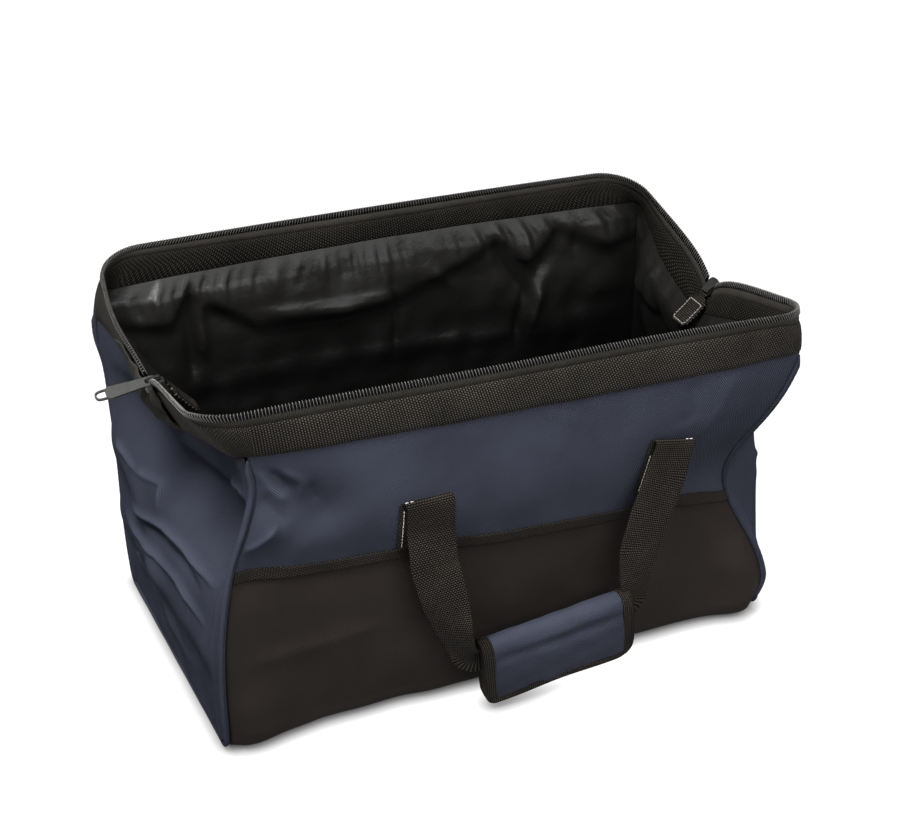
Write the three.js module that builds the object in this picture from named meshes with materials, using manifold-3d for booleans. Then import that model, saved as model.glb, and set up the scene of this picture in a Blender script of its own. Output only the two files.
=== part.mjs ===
// Wide-mouth tool bag, zip open, standing on its base. Millimetres, +Z up.
// X runs along the bag, Y runs from the front to the back, and the origin is the middle of the base.
import * as THREE from 'three';
import { mergeVertices } from 'three/addons/utils/BufferGeometryUtils.js';
import loadManifold from 'manifold-3d';

// Cloth and trim
const GAP = 0.35;
const BASE_WIDTH = 264;
const BASE_LENGTH = 480;
const PANEL_THICKNESS = 2;
const LINING_THICKNESS = 1;
const PIPING_RADIUS = 2.3;
const PIPING_STEPS = 13;
const PIPING_TOP = 0.993;
const PANEL_INSET = PIPING_RADIUS + 2 * GAP;
const BOTTOM_ROUND = 13;
const HEM_HEIGHT = 11.5;
const HEM_THICKNESS = 1;
const HEM_LIFT = (PANEL_THICKNESS + HEM_THICKNESS) / 2 + 2 * GAP;

// Base cloth: the shares of its way across that lie on a wall and in a round, and its rows
const WALL_PART = 0.4;
const ROUND_PART = 0.07;
const BASE_ROWS = [
  0, 0.034, 0.09, 0.15, 0.21, 0.3, 0.4, 0.423, 0.447, 0.47,
  0.53, 0.553, 0.577, 0.6, 0.73, 0.87, 1,
];

// Lining: columns on each wall, levels up the wall and shares across the floor
const LINING_COLUMNS = { front: 12, right: 10, back: 18, left: 10 };
const LINING_EDGE = 14;
const LINING_LOOSE = 8;
const LINING_CLEAR = 0.9;
const LINING_LEVELS = [0.07, 0.25, 0.43, 0.6, 0.74, 0.87, 0.99];
const LINING_FLOOR = [0, 0.5, 0.91];

// Rim
const RIM_RADIUS = 38;
const BAND_LIFT = 0.9;
const BAND_FOOT = 2.6;
const BAND_BELLY = 3.1;
const BAND_HEAD = 2.2;
const TAPE_HEIGHT = 8;
const TAPE_THICKNESS = 1.2;
const COIL_HEIGHT = 5;
const COIL_THICKNESS = 2.8;
const COLLAR_CORNER = 7;
const BAND_END = 2;
const ZIP_END = 6.4;
const LEG_STEPS = 7;
const ARC_STEPS = 4;
const RUN_STEPS = 12;

// Zip ends
const SLIDER_LENGTH = 15;
const SLIDER_WIDTH = 12;
const SLIDER_THICKNESS = 5.6;
const BAIL_HEIGHT = 7;
const BAIL_WIDTH = 2.6;
const BAIL_HALF_LENGTH = 5.6;
const BAIL_ROUND = 2.1;
const BAIL_WALL = 1.4;
const PIN_LIFT = 4.2;
const PIN_RADIUS = 0.9;
const PULL_LENGTH = 45;
const PULL_THICKNESS = 1.8;
const PULL_NECK = 4.3;
const PULL_BROAD = 5.6;
const EYE_HALF = 2.1;
const EYE_END = 6.2;
const RING_START = 36;
const RING_HALF = 4.6;
const RING_WALL = 1.4;
const TAB_LENGTH = 34;
const TAB_WIDTH = 22;
const TAB_NECK = 4.5;
const TAB_NECK_LENGTH = 3;
const TAB_SHOULDER = 8;
const TAB_ROUND = 6;
const TAB_THICKNESS = 2;

// Handles
const STRAP_THICKNESS = 1.8;
const STRAP_STEPS = 56;
const GRIP_CENTRE = [24, 44];
const GRIP_STAND = 28;
const GRIP_TILT = THREE.MathUtils.degToRad(6);
const GRIP_LENGTH = 130;
const GRIP_HALF_HEIGHT = 30;
const GRIP_HALF_DEPTH = 9;
const GRIP_FOOT_DEPTH = 5;
const GRIP_TUNNEL_UP = 14;
const GRIP_TUNNEL_HALF = 13;
const GRIP_TUNNEL_DEPTH = 1.5;
const BINDING_WIDTH = 9;
const BINDING_FOOT = 2.4;

// The four sewn corners of the body in plan, from the floor to the lower edge of the rim
const CORNER_ROWS = [
  { at: 0.0, frontLeft: [-240, -132], frontRight: [240, -132], backRight: [246, 132], backLeft: [-254, 133] },
  { at: 0.25, frontLeft: [-240, -134], frontRight: [240, -133], backRight: [248, 134], backLeft: [-255, 135] },
  { at: 0.45, frontLeft: [-236, -134], frontRight: [241, -133], backRight: [248, 135], backLeft: [-254, 136] },
  { at: 0.66, frontLeft: [-225, -133], frontRight: [241, -132], backRight: [249, 136], backLeft: [-254, 136] },
  { at: 0.8, frontLeft: [-211, -131], frontRight: [241, -132], backRight: [250, 137], backLeft: [-255, 137] },
  { at: 0.9, frontLeft: [-205, -130], frontRight: [243, -132], backRight: [249, 138], backLeft: [-259, 138] },
  { at: 1.0, frontLeft: [-209, -130], frontRight: [247, -132], backRight: [246, 138], backLeft: [-258, 138] },
];

// Height of the body at each corner, and at the middle of each end
const CORNER_TOP = { frontLeft: 256, frontRight: 247, backRight: 261, backLeft: 260 };
const END_TOP = { left: 217, right: 209 };

// Each wall: its corners, the way it faces, how far it swells, where up the wall, and how far its top leans in
const WALLS = {
  front: { from: 'frontLeft', to: 'frontRight', out: [0, -1], swell: 10, share: 0.78, spread: 0.22, lean: 0 },
  right: { from: 'frontRight', to: 'backRight', out: [1, 0], swell: 14, share: 0.38, spread: 0.24, lean: 20 },
  back: { from: 'backRight', to: 'backLeft', out: [0, 1], swell: 6, share: 0.7, spread: 0.25, lean: 0 },
  left: { from: 'backLeft', to: 'frontLeft', out: [-1, 0], swell: 3, share: 0.5, spread: 0.25, lean: 6 },
};

// The front right corner is pushed in at waist height
const DENT = { x: -39, y: 26, share: 0.56, spread: 0.18, alongFront: 75, alongEnd: 21 };

// Ridges and creases of the outer cloth: where each runs on its wall, its width and its rise
const FOLDS = [
  { wall: 'front', from: [0.01, 0.9], to: [0.13, 0.8], width: 13, rise: -5 },
  { wall: 'front', from: [0.01, 0.8], to: [0.11, 0.72], width: 11, rise: 4 },
  { wall: 'front', from: [0.13, 0.78], to: [0.02, 0.63], width: 12, rise: -3 },
  { wall: 'front', from: [0.99, 0.55], to: [0.87, 0.68], width: 16, rise: -4 },
  { wall: 'front', from: [0.99, 0.45], to: [0.86, 0.36], width: 16, rise: 3 },
  { wall: 'left', from: [0.08, 0.3], to: [0.44, 0.36], width: 14, rise: 5 },
  { wall: 'left', from: [0.44, 0.36], to: [0.9, 0.35], width: 14, rise: 5 },
  { wall: 'left', from: [0.05, 0.55], to: [0.36, 0.5], width: 13, rise: 4 },
  { wall: 'left', from: [0.42, 0.92], to: [0.9, 0.7], width: 15, rise: -6 },
  { wall: 'right', from: [0.2, 0.8], to: [0.3, 0.25], width: 18, rise: -4 },
  { wall: 'right', from: [0.75, 0.9], to: [0.6, 0.4], width: 20, rise: -4 },
];

// Folds of the lining, which stand into the bag
const LINING_FOLDS = [
  { wall: 'back', from: [0.9, 1.0], to: [0.93, 0.45], width: 16, rise: 7 },
  { wall: 'back', from: [0.53, 1.0], to: [0.52, 0.6], width: 16, rise: 5 },
  { wall: 'back', from: [0.3, 1.0], to: [0.2, 0.6], width: 18, rise: 6 },
  { wall: 'right', from: [0.75, 0.95], to: [0.8, 0.5], width: 18, rise: 7 },
  { wall: 'left', from: [0.3, 0.9], to: [0.25, 0.4], width: 18, rise: 6 },
];

// Height of the seam between the upper cloth and the base cloth
const SEAM = { frontStart: 164, frontEnd: 129, back: 145 };

// Each half of the rim: its way out, reach from the middle, height, droop along X and where that starts
const HALVES = {
  front: { face: -1, halfWidth: 138, top: 301, droop: 0.00008, droopFrom: -130 },
  back: { face: 1, halfWidth: 145, top: 306.5, droop: 0.00004, droopFrom: -60 },
};

// How far each corner of the rim lies along X, and how far its leg bows out
const RIM_CORNERS = {
  front: { left: { x: -245, bow: 1 }, right: { x: 250, bow: 0 } },
  back: { left: { x: -252, bow: 7 }, right: { x: 237, bow: 0 } },
};

// Where the two halves of the rim meet at each end
const HINGES = { left: { x: -245, z: 257 }, right: { x: 243, z: 247 } };

// Zip ends: slider centre, its slope, the face with the bail, and the slopes of the pull and of the sewn tab
const ZIP_ENDS = [
  { end: 'left', side: -1, centre: [-240.5, 254.5], slope: 7, face: 1, pull: 187, tab: -50 },
  { end: 'right', side: 1, centre: [241.5, 247], slope: -37, face: -1, pull: 270, tab: -43 },
];

// One handle, from one sewn end to the other: place, stand off the wall, width, turn and twist of the webbing
const STRAP_ROWS = [
  { x: -76, z: 155.5, stand: 0, sewn: 1, width: 38, turn: 0, twist: 0 },
  { x: -76, z: 176, stand: 0, sewn: 1, width: 38, turn: 0, twist: 0 },
  { x: -76, z: 196, stand: 0, sewn: 1, width: 38, turn: 0, twist: 0 },
  { x: -76, z: 200, stand: 2.4, sewn: 1, width: 38, turn: 0, twist: 0 },
  { x: -76, z: 196, stand: 4.8, sewn: 1, width: 38, turn: 0, twist: 0 },
  { x: -77, z: 172, stand: 15, sewn: 0, width: 38, turn: 0, twist: 0 },
  { x: -76, z: 142, stand: 20, sewn: 0, width: 38, turn: 2, twist: 0 },
  { x: -70, z: 112, stand: 25, sewn: 0, width: 36, turn: 10, twist: 12 },
  { x: -64, z: 84, stand: 27.5, sewn: 0, width: 31, turn: 25, twist: 35 },
  { x: -58, z: 65, stand: 28, sewn: 0, width: 25, turn: 50, twist: 38 },
  { x: -53, z: 54.3, stand: 28, sewn: 0, width: 24, turn: 75, twist: 14 },
  { x: -47, z: 50.6, stand: 28, sewn: 0, width: 24, turn: 96, twist: 0 },
  { x: -34, z: 52, stand: 28, sewn: 0, width: 24, turn: 96, twist: 0 },
  { x: 22.5, z: 57.9, stand: 28, sewn: 0, width: 24, turn: 96, twist: 0 },
  { x: 79, z: 63.9, stand: 28, sewn: 0, width: 24, turn: 96, twist: 0 },
  { x: 92, z: 65.2, stand: 28, sewn: 0, width: 24, turn: 96, twist: 0 },
  { x: 97.5, z: 68, stand: 28, sewn: 0, width: 24, turn: 115, twist: 20 },
  { x: 101, z: 76, stand: 28, sewn: 0, width: 25, turn: 140, twist: 45 },
  { x: 101, z: 90, stand: 27.5, sewn: 0, width: 30, turn: 160, twist: 45 },
  { x: 103.5, z: 113, stand: 25, sewn: 0, width: 34, turn: 172, twist: 20 },
  { x: 112.5, z: 141, stand: 20, sewn: 0, width: 37, turn: 176, twist: 4 },
  { x: 123, z: 170, stand: 15, sewn: 0, width: 38, turn: 177, twist: 0 },
  { x: 128.5, z: 193, stand: 4.8, sewn: 1, width: 38, turn: 180, twist: 0 },
  { x: 129, z: 197, stand: 2.4, sewn: 1, width: 38, turn: 180, twist: 0 },
  { x: 129, z: 193, stand: 0, sewn: 1, width: 38, turn: 180, twist: 0 },
  { x: 129, z: 165, stand: 0, sewn: 1, width: 38, turn: 180, twist: 0 },
  { x: 129, z: 148.5, stand: 0, sewn: 1, width: 38, turn: 180, twist: 0 },
];

const NAVY = { color: 0x272c3d, roughness: 0.8, metalness: 0 };
const BASE_BLACK = { color: 0x262524, roughness: 0.9, metalness: 0 };
const WEBBING = { color: 0x2b2a29, roughness: 0.85, metalness: 0 };
const LINING_BLACK = { color: 0x151516, roughness: 0.45, metalness: 0 };
const COIL_GREY = { color: 0x3a3a38, roughness: 0.4, metalness: 0 };
const DARK_METAL = { color: 0x4a4a48, roughness: 0.4, metalness: 0.8 };

const wasm = await loadManifold();
wasm.setup();

const lerp = THREE.MathUtils.lerp;

// Shape making

// Leaves a closed body with shared corners and its faces turned out
function closed(geometry) {
  geometry.deleteAttribute('normal');
  geometry.deleteAttribute('uv');
  const merged = mergeVertices(geometry, 1e-4);
  const at = merged.attributes.position;
  const kept = [];
  const corner = [new THREE.Vector3(), new THREE.Vector3(), new THREE.Vector3()];
  let volume = 0;
  for (let i = 0; i < merged.index.count; i += 3) {
    const ids = [0, 1, 2].map((k) => merged.index.getX(i + k));
    if (new Set(ids).size === 3) {
      kept.push(...ids);
      ids.forEach((id, k) => corner[k].fromBufferAttribute(at, id));
      volume += corner[0].dot(corner[1].clone().cross(corner[2]));
    }
  }
  merged.setIndex(volume < 0 ? kept.reverse() : kept);
  merged.computeVertexNormals();
  return merged;
}

// Moves every vertex of a plain shape to the place that a function gives it
function shaped(geometry, place) {
  const at = geometry.attributes.position;
  const from = new THREE.Vector3();
  for (let i = 0; i < at.count; i += 1) {
    from.fromBufferAttribute(at, i);
    const to = place(from, i);
    at.setXYZ(i, to.x, to.y, to.z);
  }
  return closed(geometry);
}

function surfaceNormal(surface, u, v) {
  const step = 0.004;
  const along = surface(u + step, v).sub(surface(u - step, v));
  const up = surface(u, v + step).sub(surface(u, v - step));
  return along.cross(up).normalize();
}

// A sheet of cloth of even thickness on a surface
function sheet(surface, columns, rows, thickness, lift = 0) {
  const box = new THREE.BoxGeometry(1, 1, 1, columns, rows, 1);
  return shaped(box, (from) => {
    const u = from.x + 0.5;
    const v = from.y + 0.5;
    const normal = surfaceNormal(surface, u, v);
    return surface(u, v).addScaledVector(normal, lift + from.z * thickness);
  });
}

// A strip through a row of sections, each with the same number of corners
function strip(sections) {
  const sides = sections[0].length;
  const steps = sections.length - 1;
  const cylinder = new THREE.CylinderGeometry(1, 1, 1, sides, steps);
  return shaped(cylinder, (from) => {
    const section = sections[Math.round((0.5 - from.y) * steps)];
    if (Math.hypot(from.x, from.z) < 0.5) {
      const middle = new THREE.Vector3();
      section.forEach((point) => middle.addScaledVector(point, 1 / sides));
      return middle;
    }
    const turn = Math.atan2(from.x, from.z) / (2 * Math.PI);
    return section[(Math.round(turn * sides) + sides) % sides];
  });
}

function solid(geometry) {
  const vertProperties = new Float32Array(geometry.attributes.position.array);
  const triVerts = new Uint32Array(geometry.index.array);
  return new wasm.Manifold(new wasm.Mesh({ numProp: 3, vertProperties, triVerts }));
}

function joined(first, ...others) {
  let body = solid(first);
  for (const other of others) {
    body = body.add(solid(other));
  }
  const mesh = body.getMesh();
  const geometry = new THREE.BufferGeometry();
  geometry.setAttribute('position', new THREE.BufferAttribute(mesh.vertProperties, 3));
  geometry.setIndex(new THREE.BufferAttribute(mesh.triVerts, 1));
  return closed(geometry);
}

function plate(shape, depth, curveSegments = 6) {
  const extruded = new THREE.ExtrudeGeometry(shape, { depth, curveSegments, bevelEnabled: false });
  extruded.translate(0, 0, -depth / 2);
  return closed(extruded);
}

const bag = new THREE.Group();

function add(name, geometry, look) {
  const mesh = new THREE.Mesh(geometry, new THREE.MeshStandardMaterial(look));
  mesh.name = name;
  bag.add(mesh);
  return mesh;
}

// Walls

const cornerNames = Object.keys(CORNER_TOP);
const cornerCurve = new THREE.CubicInterpolant(
  CORNER_ROWS.map((row) => row.at),
  CORNER_ROWS.flatMap((row) => cornerNames.flatMap((name) => row[name])),
  cornerNames.length * 2,
);

function bell(distance, spread) {
  return Math.exp(-0.5 * (distance / spread) ** 2);
}

function dentShare(share) {
  return bell(share - DENT.share, DENT.spread);
}

// A straight corner in plan, before the dent
function cornerPlan(name, share) {
  const values = cornerCurve.evaluate(THREE.MathUtils.clamp(share, 0, 1));
  const k = cornerNames.indexOf(name) * 2;
  return new THREE.Vector2(values[k], values[k + 1]);
}

function legRise(share) {
  return 1 - 0.65 * (1 - share) - 0.35 * Math.exp(-share / 0.12);
}

// Height of a wall's upper edge
function wallTop(name, s) {
  const wall = WALLS[name];
  const top = lerp(CORNER_TOP[wall.from], CORNER_TOP[wall.to], s);
  if (!(name in END_TOP)) {
    return top;
  }
  const away = Math.min(Math.abs(2 * s - 1), 1);
  return lerp(END_TOP[name], top, away ** 1.15);
}

function foldRise(folds, name, s, t) {
  const length = name in END_TOP ? BASE_WIDTH : BASE_LENGTH;
  const height = CORNER_TOP.frontLeft;
  const here = new THREE.Vector3(s * length, t * height, 0);
  const nearest = new THREE.Vector3();
  const line = new THREE.Line3();
  let rise = 0;
  for (const fold of folds.filter((row) => row.wall === name)) {
    line.start.set(fold.from[0] * length, fold.from[1] * height, 0);
    line.end.set(fold.to[0] * length, fold.to[1] * height, 0);
    line.closestPointToPoint(here, true, nearest);
    rise += fold.rise * bell(here.distanceTo(nearest), fold.width);
  }
  const edge = Math.min(s, 1 - s) * length;
  return rise * Math.min(1, edge / 14);
}

// The middle of the cloth on a wall: s runs along it, t from the floor to the rim
function wallPoint(name, s, t) {
  const wall = WALLS[name];
  const from = cornerPlan(wall.from, t);
  const to = cornerPlan(wall.to, t);
  const length = from.distanceTo(to);
  const plan = from.lerp(to, s);
  const centre = 1 - (2 * s - 1) ** 4;
  const arch = 4 * s * (1 - s);
  let push = wall.swell * bell(t - wall.share, wall.spread) * centre;
  push += foldRise(FOLDS, name, s, t) * Math.min(1, t * 8);
  push -= wall.lean * arch * t ** 4;
  plan.x += wall.out[0] * push;
  plan.y += wall.out[1] * push;
  if (name === 'front') {
    const reach = dentShare(t);
    plan.x += DENT.x * reach * s;
    plan.y += DENT.y * reach * bell((1 - s) * length, DENT.alongFront);
  }
  if (name === 'right') {
    const reach = dentShare(t) * bell(s * length, DENT.alongEnd);
    plan.x += DENT.x * reach;
    plan.y += DENT.y * reach;
  }
  return new THREE.Vector3(plan.x, plan.y, t * wallTop(name, s));
}

function wallNormal(name, s, t) {
  return surfaceNormal((u, v) => wallPoint(name, u, v), s, t);
}

function wallLength(name, t) {
  return wallPoint(name, 0, t).distanceTo(wallPoint(name, 1, t));
}

function insetShare(name, u, t, inset) {
  const share = inset / wallLength(name, t);
  return lerp(share, 1 - share, u);
}

function seamShare(name, s) {
  const height = name === 'front' ? lerp(SEAM.frontStart, SEAM.frontEnd, s) : SEAM.back;
  return height / wallTop(name, s);
}

// Upper cloth of the front or the back
function upperPanel(name) {
  return (u, v) => {
    const s = insetShare(name, u, 0.8, PANEL_INSET);
    return wallPoint(name, s, lerp(seamShare(name, s) + 0.002, 1, v));
  };
}

add('front_panel', sheet(upperPanel('front'), 24, 7, PANEL_THICKNESS), NAVY);
add('back_panel', sheet(upperPanel('back'), 16, 5, PANEL_THICKNESS), NAVY);

// Base cloth: down the front, under the bag and up the back

function baseWall(name, s, drop) {
  const low = (BOTTOM_ROUND + 1) / wallTop(name, s);
  return wallPoint(name, s, lerp(seamShare(name, s) - 0.002, low, drop));
}

function baseRound(name, s, turn) {
  const point = baseWall(name, s, 1);
  const inward = -WALLS[name].out[1];
  point.y += inward * BOTTOM_ROUND * (1 - Math.cos(turn));
  point.z = PANEL_THICKNESS / 2 + BOTTOM_ROUND * (1 - Math.sin(turn));
  return point;
}

function baseHalf(name, s, v) {
  if (v < WALL_PART) {
    return baseWall(name, s, v / WALL_PART);
  }
  return baseRound(name, s, Math.min((v - WALL_PART) / ROUND_PART, 1) * Math.PI / 2);
}

function baseSurface(u, v) {
  const across = THREE.MathUtils.clamp(v, 0, 1);
  const s = insetShare('front', u, 0.5, PANEL_INSET);
  const half = across < 0.5 ? baseHalf('front', s, across) : baseHalf('back', 1 - s, 1 - across);
  const flat = WALL_PART + ROUND_PART;
  if (across > flat && across < 1 - flat) {
    const front = baseHalf('front', s, flat);
    const back = baseHalf('back', 1 - s, flat);
    return front.lerp(back, (across - flat) / (1 - 2 * flat));
  }
  return half;
}

function baseCloth() {
  const last = BASE_ROWS.length - 1;
  const row = (v) => {
    const k = THREE.MathUtils.clamp(Math.floor(v * last), 0, last - 1);
    return lerp(BASE_ROWS[k], BASE_ROWS[k + 1], v * last - k);
  };
  const box = new THREE.BoxGeometry(1, 1, 1, 24, last, 1);
  return shaped(box, (from) => {
    const u = from.x + 0.5;
    const v = row(from.y + 0.5);
    const normal = surfaceNormal(baseSurface, u, v);
    const flat = WALL_PART + ROUND_PART - 0.001;
    if (v > flat && v < 1 - flat) {
      normal.set(0, 0, Math.sign(normal.z));
    }
    return baseSurface(u, v).addScaledVector(normal, from.z * PANEL_THICKNESS);
  });
}

add('base_wrap', baseCloth(), BASE_BLACK);

// End panels, whose lower corners are round
function endFoot(name, s) {
  const edge = Math.min(s, 1 - s) * wallLength(name, 0);
  const radius = BOTTOM_ROUND - PANEL_INSET;
  const inside = THREE.MathUtils.clamp(1 - (edge - PANEL_INSET) / radius, 0, 1);
  const foot = 2 * PIPING_RADIUS + 2 * GAP + 0.4;
  return foot + (BOTTOM_ROUND + 1 - foot) * (1 - Math.sqrt(1 - inside ** 2));
}

// Columns of an end panel stand closer together towards its two edges
function endPanel(name) {
  return (u, v) => {
    const bunched = u - 0.09 * Math.sin(2 * Math.PI * u);
    const s = insetShare(name, bunched, 0.4, PANEL_INSET);
    return wallPoint(name, s, lerp(endFoot(name, s) / wallTop(name, s), 1, v));
  };
}

add('end_panel_left', sheet(endPanel('left'), 14, 12, PANEL_THICKNESS), NAVY);
add('end_panel_right', sheet(endPanel('right'), 16, 12, PANEL_THICKNESS), NAVY);

// Piping down one edge of an end panel, along the floor and up the other edge
function pipingPath(name) {
  const low = (s) => (BOTTOM_ROUND + 1) / wallTop(name, s);
  const floor = PIPING_RADIUS + GAP;
  const rise = BOTTOM_ROUND + 1 - floor;
  const path = [];
  for (let k = 0; k <= PIPING_STEPS; k += 1) {
    path.push(wallPoint(name, 0, lerp(PIPING_TOP, low(0), k / PIPING_STEPS)));
  }
  for (const s of [0, 1]) {
    const inward = Math.sign(wallPoint(name, 1 - s, 0).y - wallPoint(name, s, 0).y);
    const turns = s === 0 ? [1, 2, 3, 4] : [4, 3, 2, 1];
    for (const turn of turns.map((quarter) => quarter * Math.PI / 8)) {
      const point = wallPoint(name, s, low(s));
      point.y += inward * BOTTOM_ROUND * (1 - Math.cos(turn));
      point.z -= rise * Math.sin(turn);
      path.push(point);
    }
  }
  for (let k = 0; k <= PIPING_STEPS; k += 1) {
    path.push(wallPoint(name, 1, lerp(low(1), PIPING_TOP, k / PIPING_STEPS)));
  }
  return path;
}

function piping(name, sides) {
  const path = pipingPath(name);
  const out = new THREE.Vector3(...WALLS[name].out, 0);
  return strip(path.map((point, k) => {
    const ahead = path[Math.min(k + 1, path.length - 1)].clone();
    const tangent = ahead.sub(path[Math.max(k - 1, 0)]).normalize();
    const across = tangent.clone().cross(out).normalize();
    const up = across.clone().cross(tangent);
    return Array.from({ length: sides }, (_, n) => {
      const turn = n * 2 * Math.PI / sides;
      return point.clone()
        .addScaledVector(across, PIPING_RADIUS * Math.cos(turn))
        .addScaledVector(up, PIPING_RADIUS * Math.sin(turn));
    });
  }));
}

add('piping_left', piping('left', 6), NAVY);
add('piping_right', piping('right', 6), NAVY);

// Ribbed tape along the upper edge of the base cloth
function hem(name) {
  return (u, v) => {
    const s = insetShare(name, u, 0.5, PANEL_INSET);
    const top = seamShare(name, s);
    return wallPoint(name, s, lerp(top - HEM_HEIGHT / wallTop(name, s), top, v));
  };
}

add('front_hem_tape', sheet(hem('front'), 24, 1, HEM_THICKNESS, HEM_LIFT), WEBBING);
add('back_hem_tape', sheet(hem('back'), 24, 1, HEM_THICKNESS, HEM_LIFT), WEBBING);

// Gives the outer skin of a lathe the diagonals of its inner skin, so that both bend alike
function turnDiagonals(lathe, count, first) {
  const columns = lathe.index.count / 6 / (count - 1);
  for (let column = 0; column < columns; column += 1) {
    for (let k = first; k < count - 1; k += 1) {
      const a = column * count + k;
      const b = a + count;
      const at = (column * (count - 1) + k) * 6;
      [a, b, b + 1, a, b + 1, a + 1].forEach((id, n) => lathe.index.setX(at + n, id));
    }
  }
}

// Lining: one thin bucket inside the walls
function lining() {
  const around = Object.entries(LINING_COLUMNS).flatMap(([name, count]) => (
    Array.from({ length: count }, (_, k) => [name, insetShare(name, k / (count - 1), 0.4, LINING_EDGE)])
  ));
  const inner = PANEL_THICKNESS / 2 + LINING_CLEAR + LINING_THICKNESS;
  const outer = inner - LINING_THICKNESS;
  const wallRing = (level, inset) => around.map(([name, s]) => {
    const loose = (LINING_LOOSE + foldRise(LINING_FOLDS, name, s, level)) * (1 - level ** 10);
    return wallPoint(name, s, level).addScaledVector(wallNormal(name, s, level), -inset - loose);
  });
  const floorRing = (share, inset) => {
    const ring = wallRing(LINING_LEVELS[0], inner);
    const middle = new THREE.Vector3();
    ring.forEach((point) => middle.addScaledVector(point, 1 / ring.length));
    return ring.map((point) => middle.clone().lerp(point, share).setZ(PANEL_THICKNESS / 2 + inset));
  };
  const skin = (inset) => [
    ...LINING_FLOOR.map((share) => floorRing(share, inset)),
    ...LINING_LEVELS.map((level) => wallRing(level, inset)),
  ];
  const rings = [...skin(inner), ...skin(outer).reverse()];
  const profile = rings.map((_, k) => new THREE.Vector2(k, k));
  const lathe = new THREE.LatheGeometry(profile, around.length);
  turnDiagonals(lathe, rings.length, rings.length / 2);
  return shaped(lathe, (_, i) => rings[i % rings.length][Math.floor(i / rings.length) % around.length]);
}

add('lining', lining(), LINING_BLACK);

// Rim

function rimHeight(half, x, away) {
  const row = HALVES[half];
  const top = row.top - row.droop * (x - row.droopFrom) ** 2;
  const hinge = HINGES[x < 0 ? 'left' : 'right'];
  return lerp(hinge.z, top, legRise(Math.min(away / row.halfWidth, 1)));
}

// Stations of one end of a half rim, from the hinge round the corner to the long run
function rimEnd(half, end, start) {
  const row = HALVES[half];
  const side = end === 'left' ? -1 : 1;
  const corner = RIM_CORNERS[half][end];
  const toHigh = (end === 'left') === (half === 'front');
  const wallShare = (away) => (toHigh ? 0.5 + away / BASE_WIDTH : 0.5 - away / BASE_WIDTH);
  const legLength = row.halfWidth - RIM_RADIUS;
  const lowerEnd = BASE_WIDTH / 2 - COLLAR_CORNER;
  const stations = [];
  for (let k = 0; k <= LEG_STEPS; k += 1) {
    const share = (k / LEG_STEPS) ** 1.3;
    const away = lerp(start, legLength, share);
    const bowed = corner.bow * Math.sin(Math.PI * away / legLength);
    const x = lerp(HINGES[end].x, corner.x, away / legLength) + side * bowed;
    const upper = new THREE.Vector3(x, row.face * away, rimHeight(half, x, away));
    stations.push({ lower: wallPoint(end, wallShare(lerp(start, lowerEnd, share)), 1), upper });
  }
  const run = wallLength(half, 1);
  const runShare = (inset) => ((end === 'left') === (half === 'front') ? inset / run : 1 - inset / run);
  const bend = new THREE.QuadraticBezierCurve3(
    stations[LEG_STEPS].lower,
    wallPoint(half, runShare(0), 1),
    wallPoint(half, runShare(COLLAR_CORNER), 1),
  );
  for (let k = 1; k <= ARC_STEPS; k += 1) {
    const turn = k / ARC_STEPS * Math.PI / 2;
    const x = corner.x - side * RIM_RADIUS * (1 - Math.cos(turn));
    const away = legLength + RIM_RADIUS * Math.sin(turn);
    const upper = new THREE.Vector3(x, row.face * away, rimHeight(half, x, away));
    stations.push({ lower: bend.getPoint(k / ARC_STEPS), upper });
  }
  return stations;
}

// All stations of a half rim, from the left hinge to the right, with the way out at each
function rimStations(half, start) {
  const row = HALVES[half];
  const left = rimEnd(half, 'left', start);
  const right = rimEnd(half, 'right', start).reverse();
  const first = left[left.length - 1];
  const last = right[0];
  const inset = COLLAR_CORNER / wallLength(half, 1);
  const run = Array.from({ length: RUN_STEPS - 1 }, (_, k) => {
    const share = (k + 1) / RUN_STEPS;
    const x = lerp(first.upper.x, last.upper.x, share);
    const s = lerp(inset, 1 - inset, half === 'front' ? share : 1 - share);
    const upper = new THREE.Vector3(x, row.face * row.halfWidth, rimHeight(half, x, row.halfWidth));
    return { lower: wallPoint(half, s, 1), upper };
  });
  const stations = [...left, ...run, ...right];
  stations.forEach((station, k) => {
    const ahead = stations[Math.min(k + 1, stations.length - 1)].upper;
    const behind = stations[Math.max(k - 1, 0)].upper;
    station.out = new THREE.Vector3(ahead.y - behind.y, behind.x - ahead.x, 0);
    station.out.multiplyScalar(-row.face).normalize();
    station.height = station.lower.distanceTo(station.upper);
    station.up = station.upper.clone().sub(station.lower).normalize();
  });
  return stations;
}

// A section on a station from rows of height along the collar and half thickness
function collarSection(station, rows) {
  const at = (row, side) => station.lower.clone()
    .addScaledVector(station.up, row.height)
    .addScaledVector(station.out, side * row.half);
  return [...rows.map((row) => at(row, 1)), ...[...rows].reverse().map((row) => at(row, -1))];
}

function rimBand(half) {
  return strip(rimStations(half, BAND_END).map((station) => {
    const head = station.height - COIL_HEIGHT - TAPE_HEIGHT - 2 * GAP;
    return collarSection(station, [
      { height: BAND_LIFT, half: BAND_FOOT },
      { height: (BAND_LIFT + head) / 2, half: BAND_BELLY },
      { height: head, half: BAND_HEAD },
    ]);
  }));
}

function zipTape(half) {
  return strip(rimStations(half, ZIP_END).map((station) => collarSection(station, [
    { height: station.height - COIL_HEIGHT - TAPE_HEIGHT - GAP, half: TAPE_THICKNESS / 2 },
    { height: station.height - COIL_HEIGHT - GAP, half: TAPE_THICKNESS / 2 },
  ])));
}

function zipCoil(half) {
  return strip(rimStations(half, ZIP_END).map((station) => collarSection(station, [
    { height: station.height - COIL_HEIGHT, half: COIL_THICKNESS / 3 },
    { height: station.height - COIL_HEIGHT / 2, half: COIL_THICKNESS / 2 },
    { height: station.height, half: COIL_THICKNESS / 3 },
  ])));
}

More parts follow.
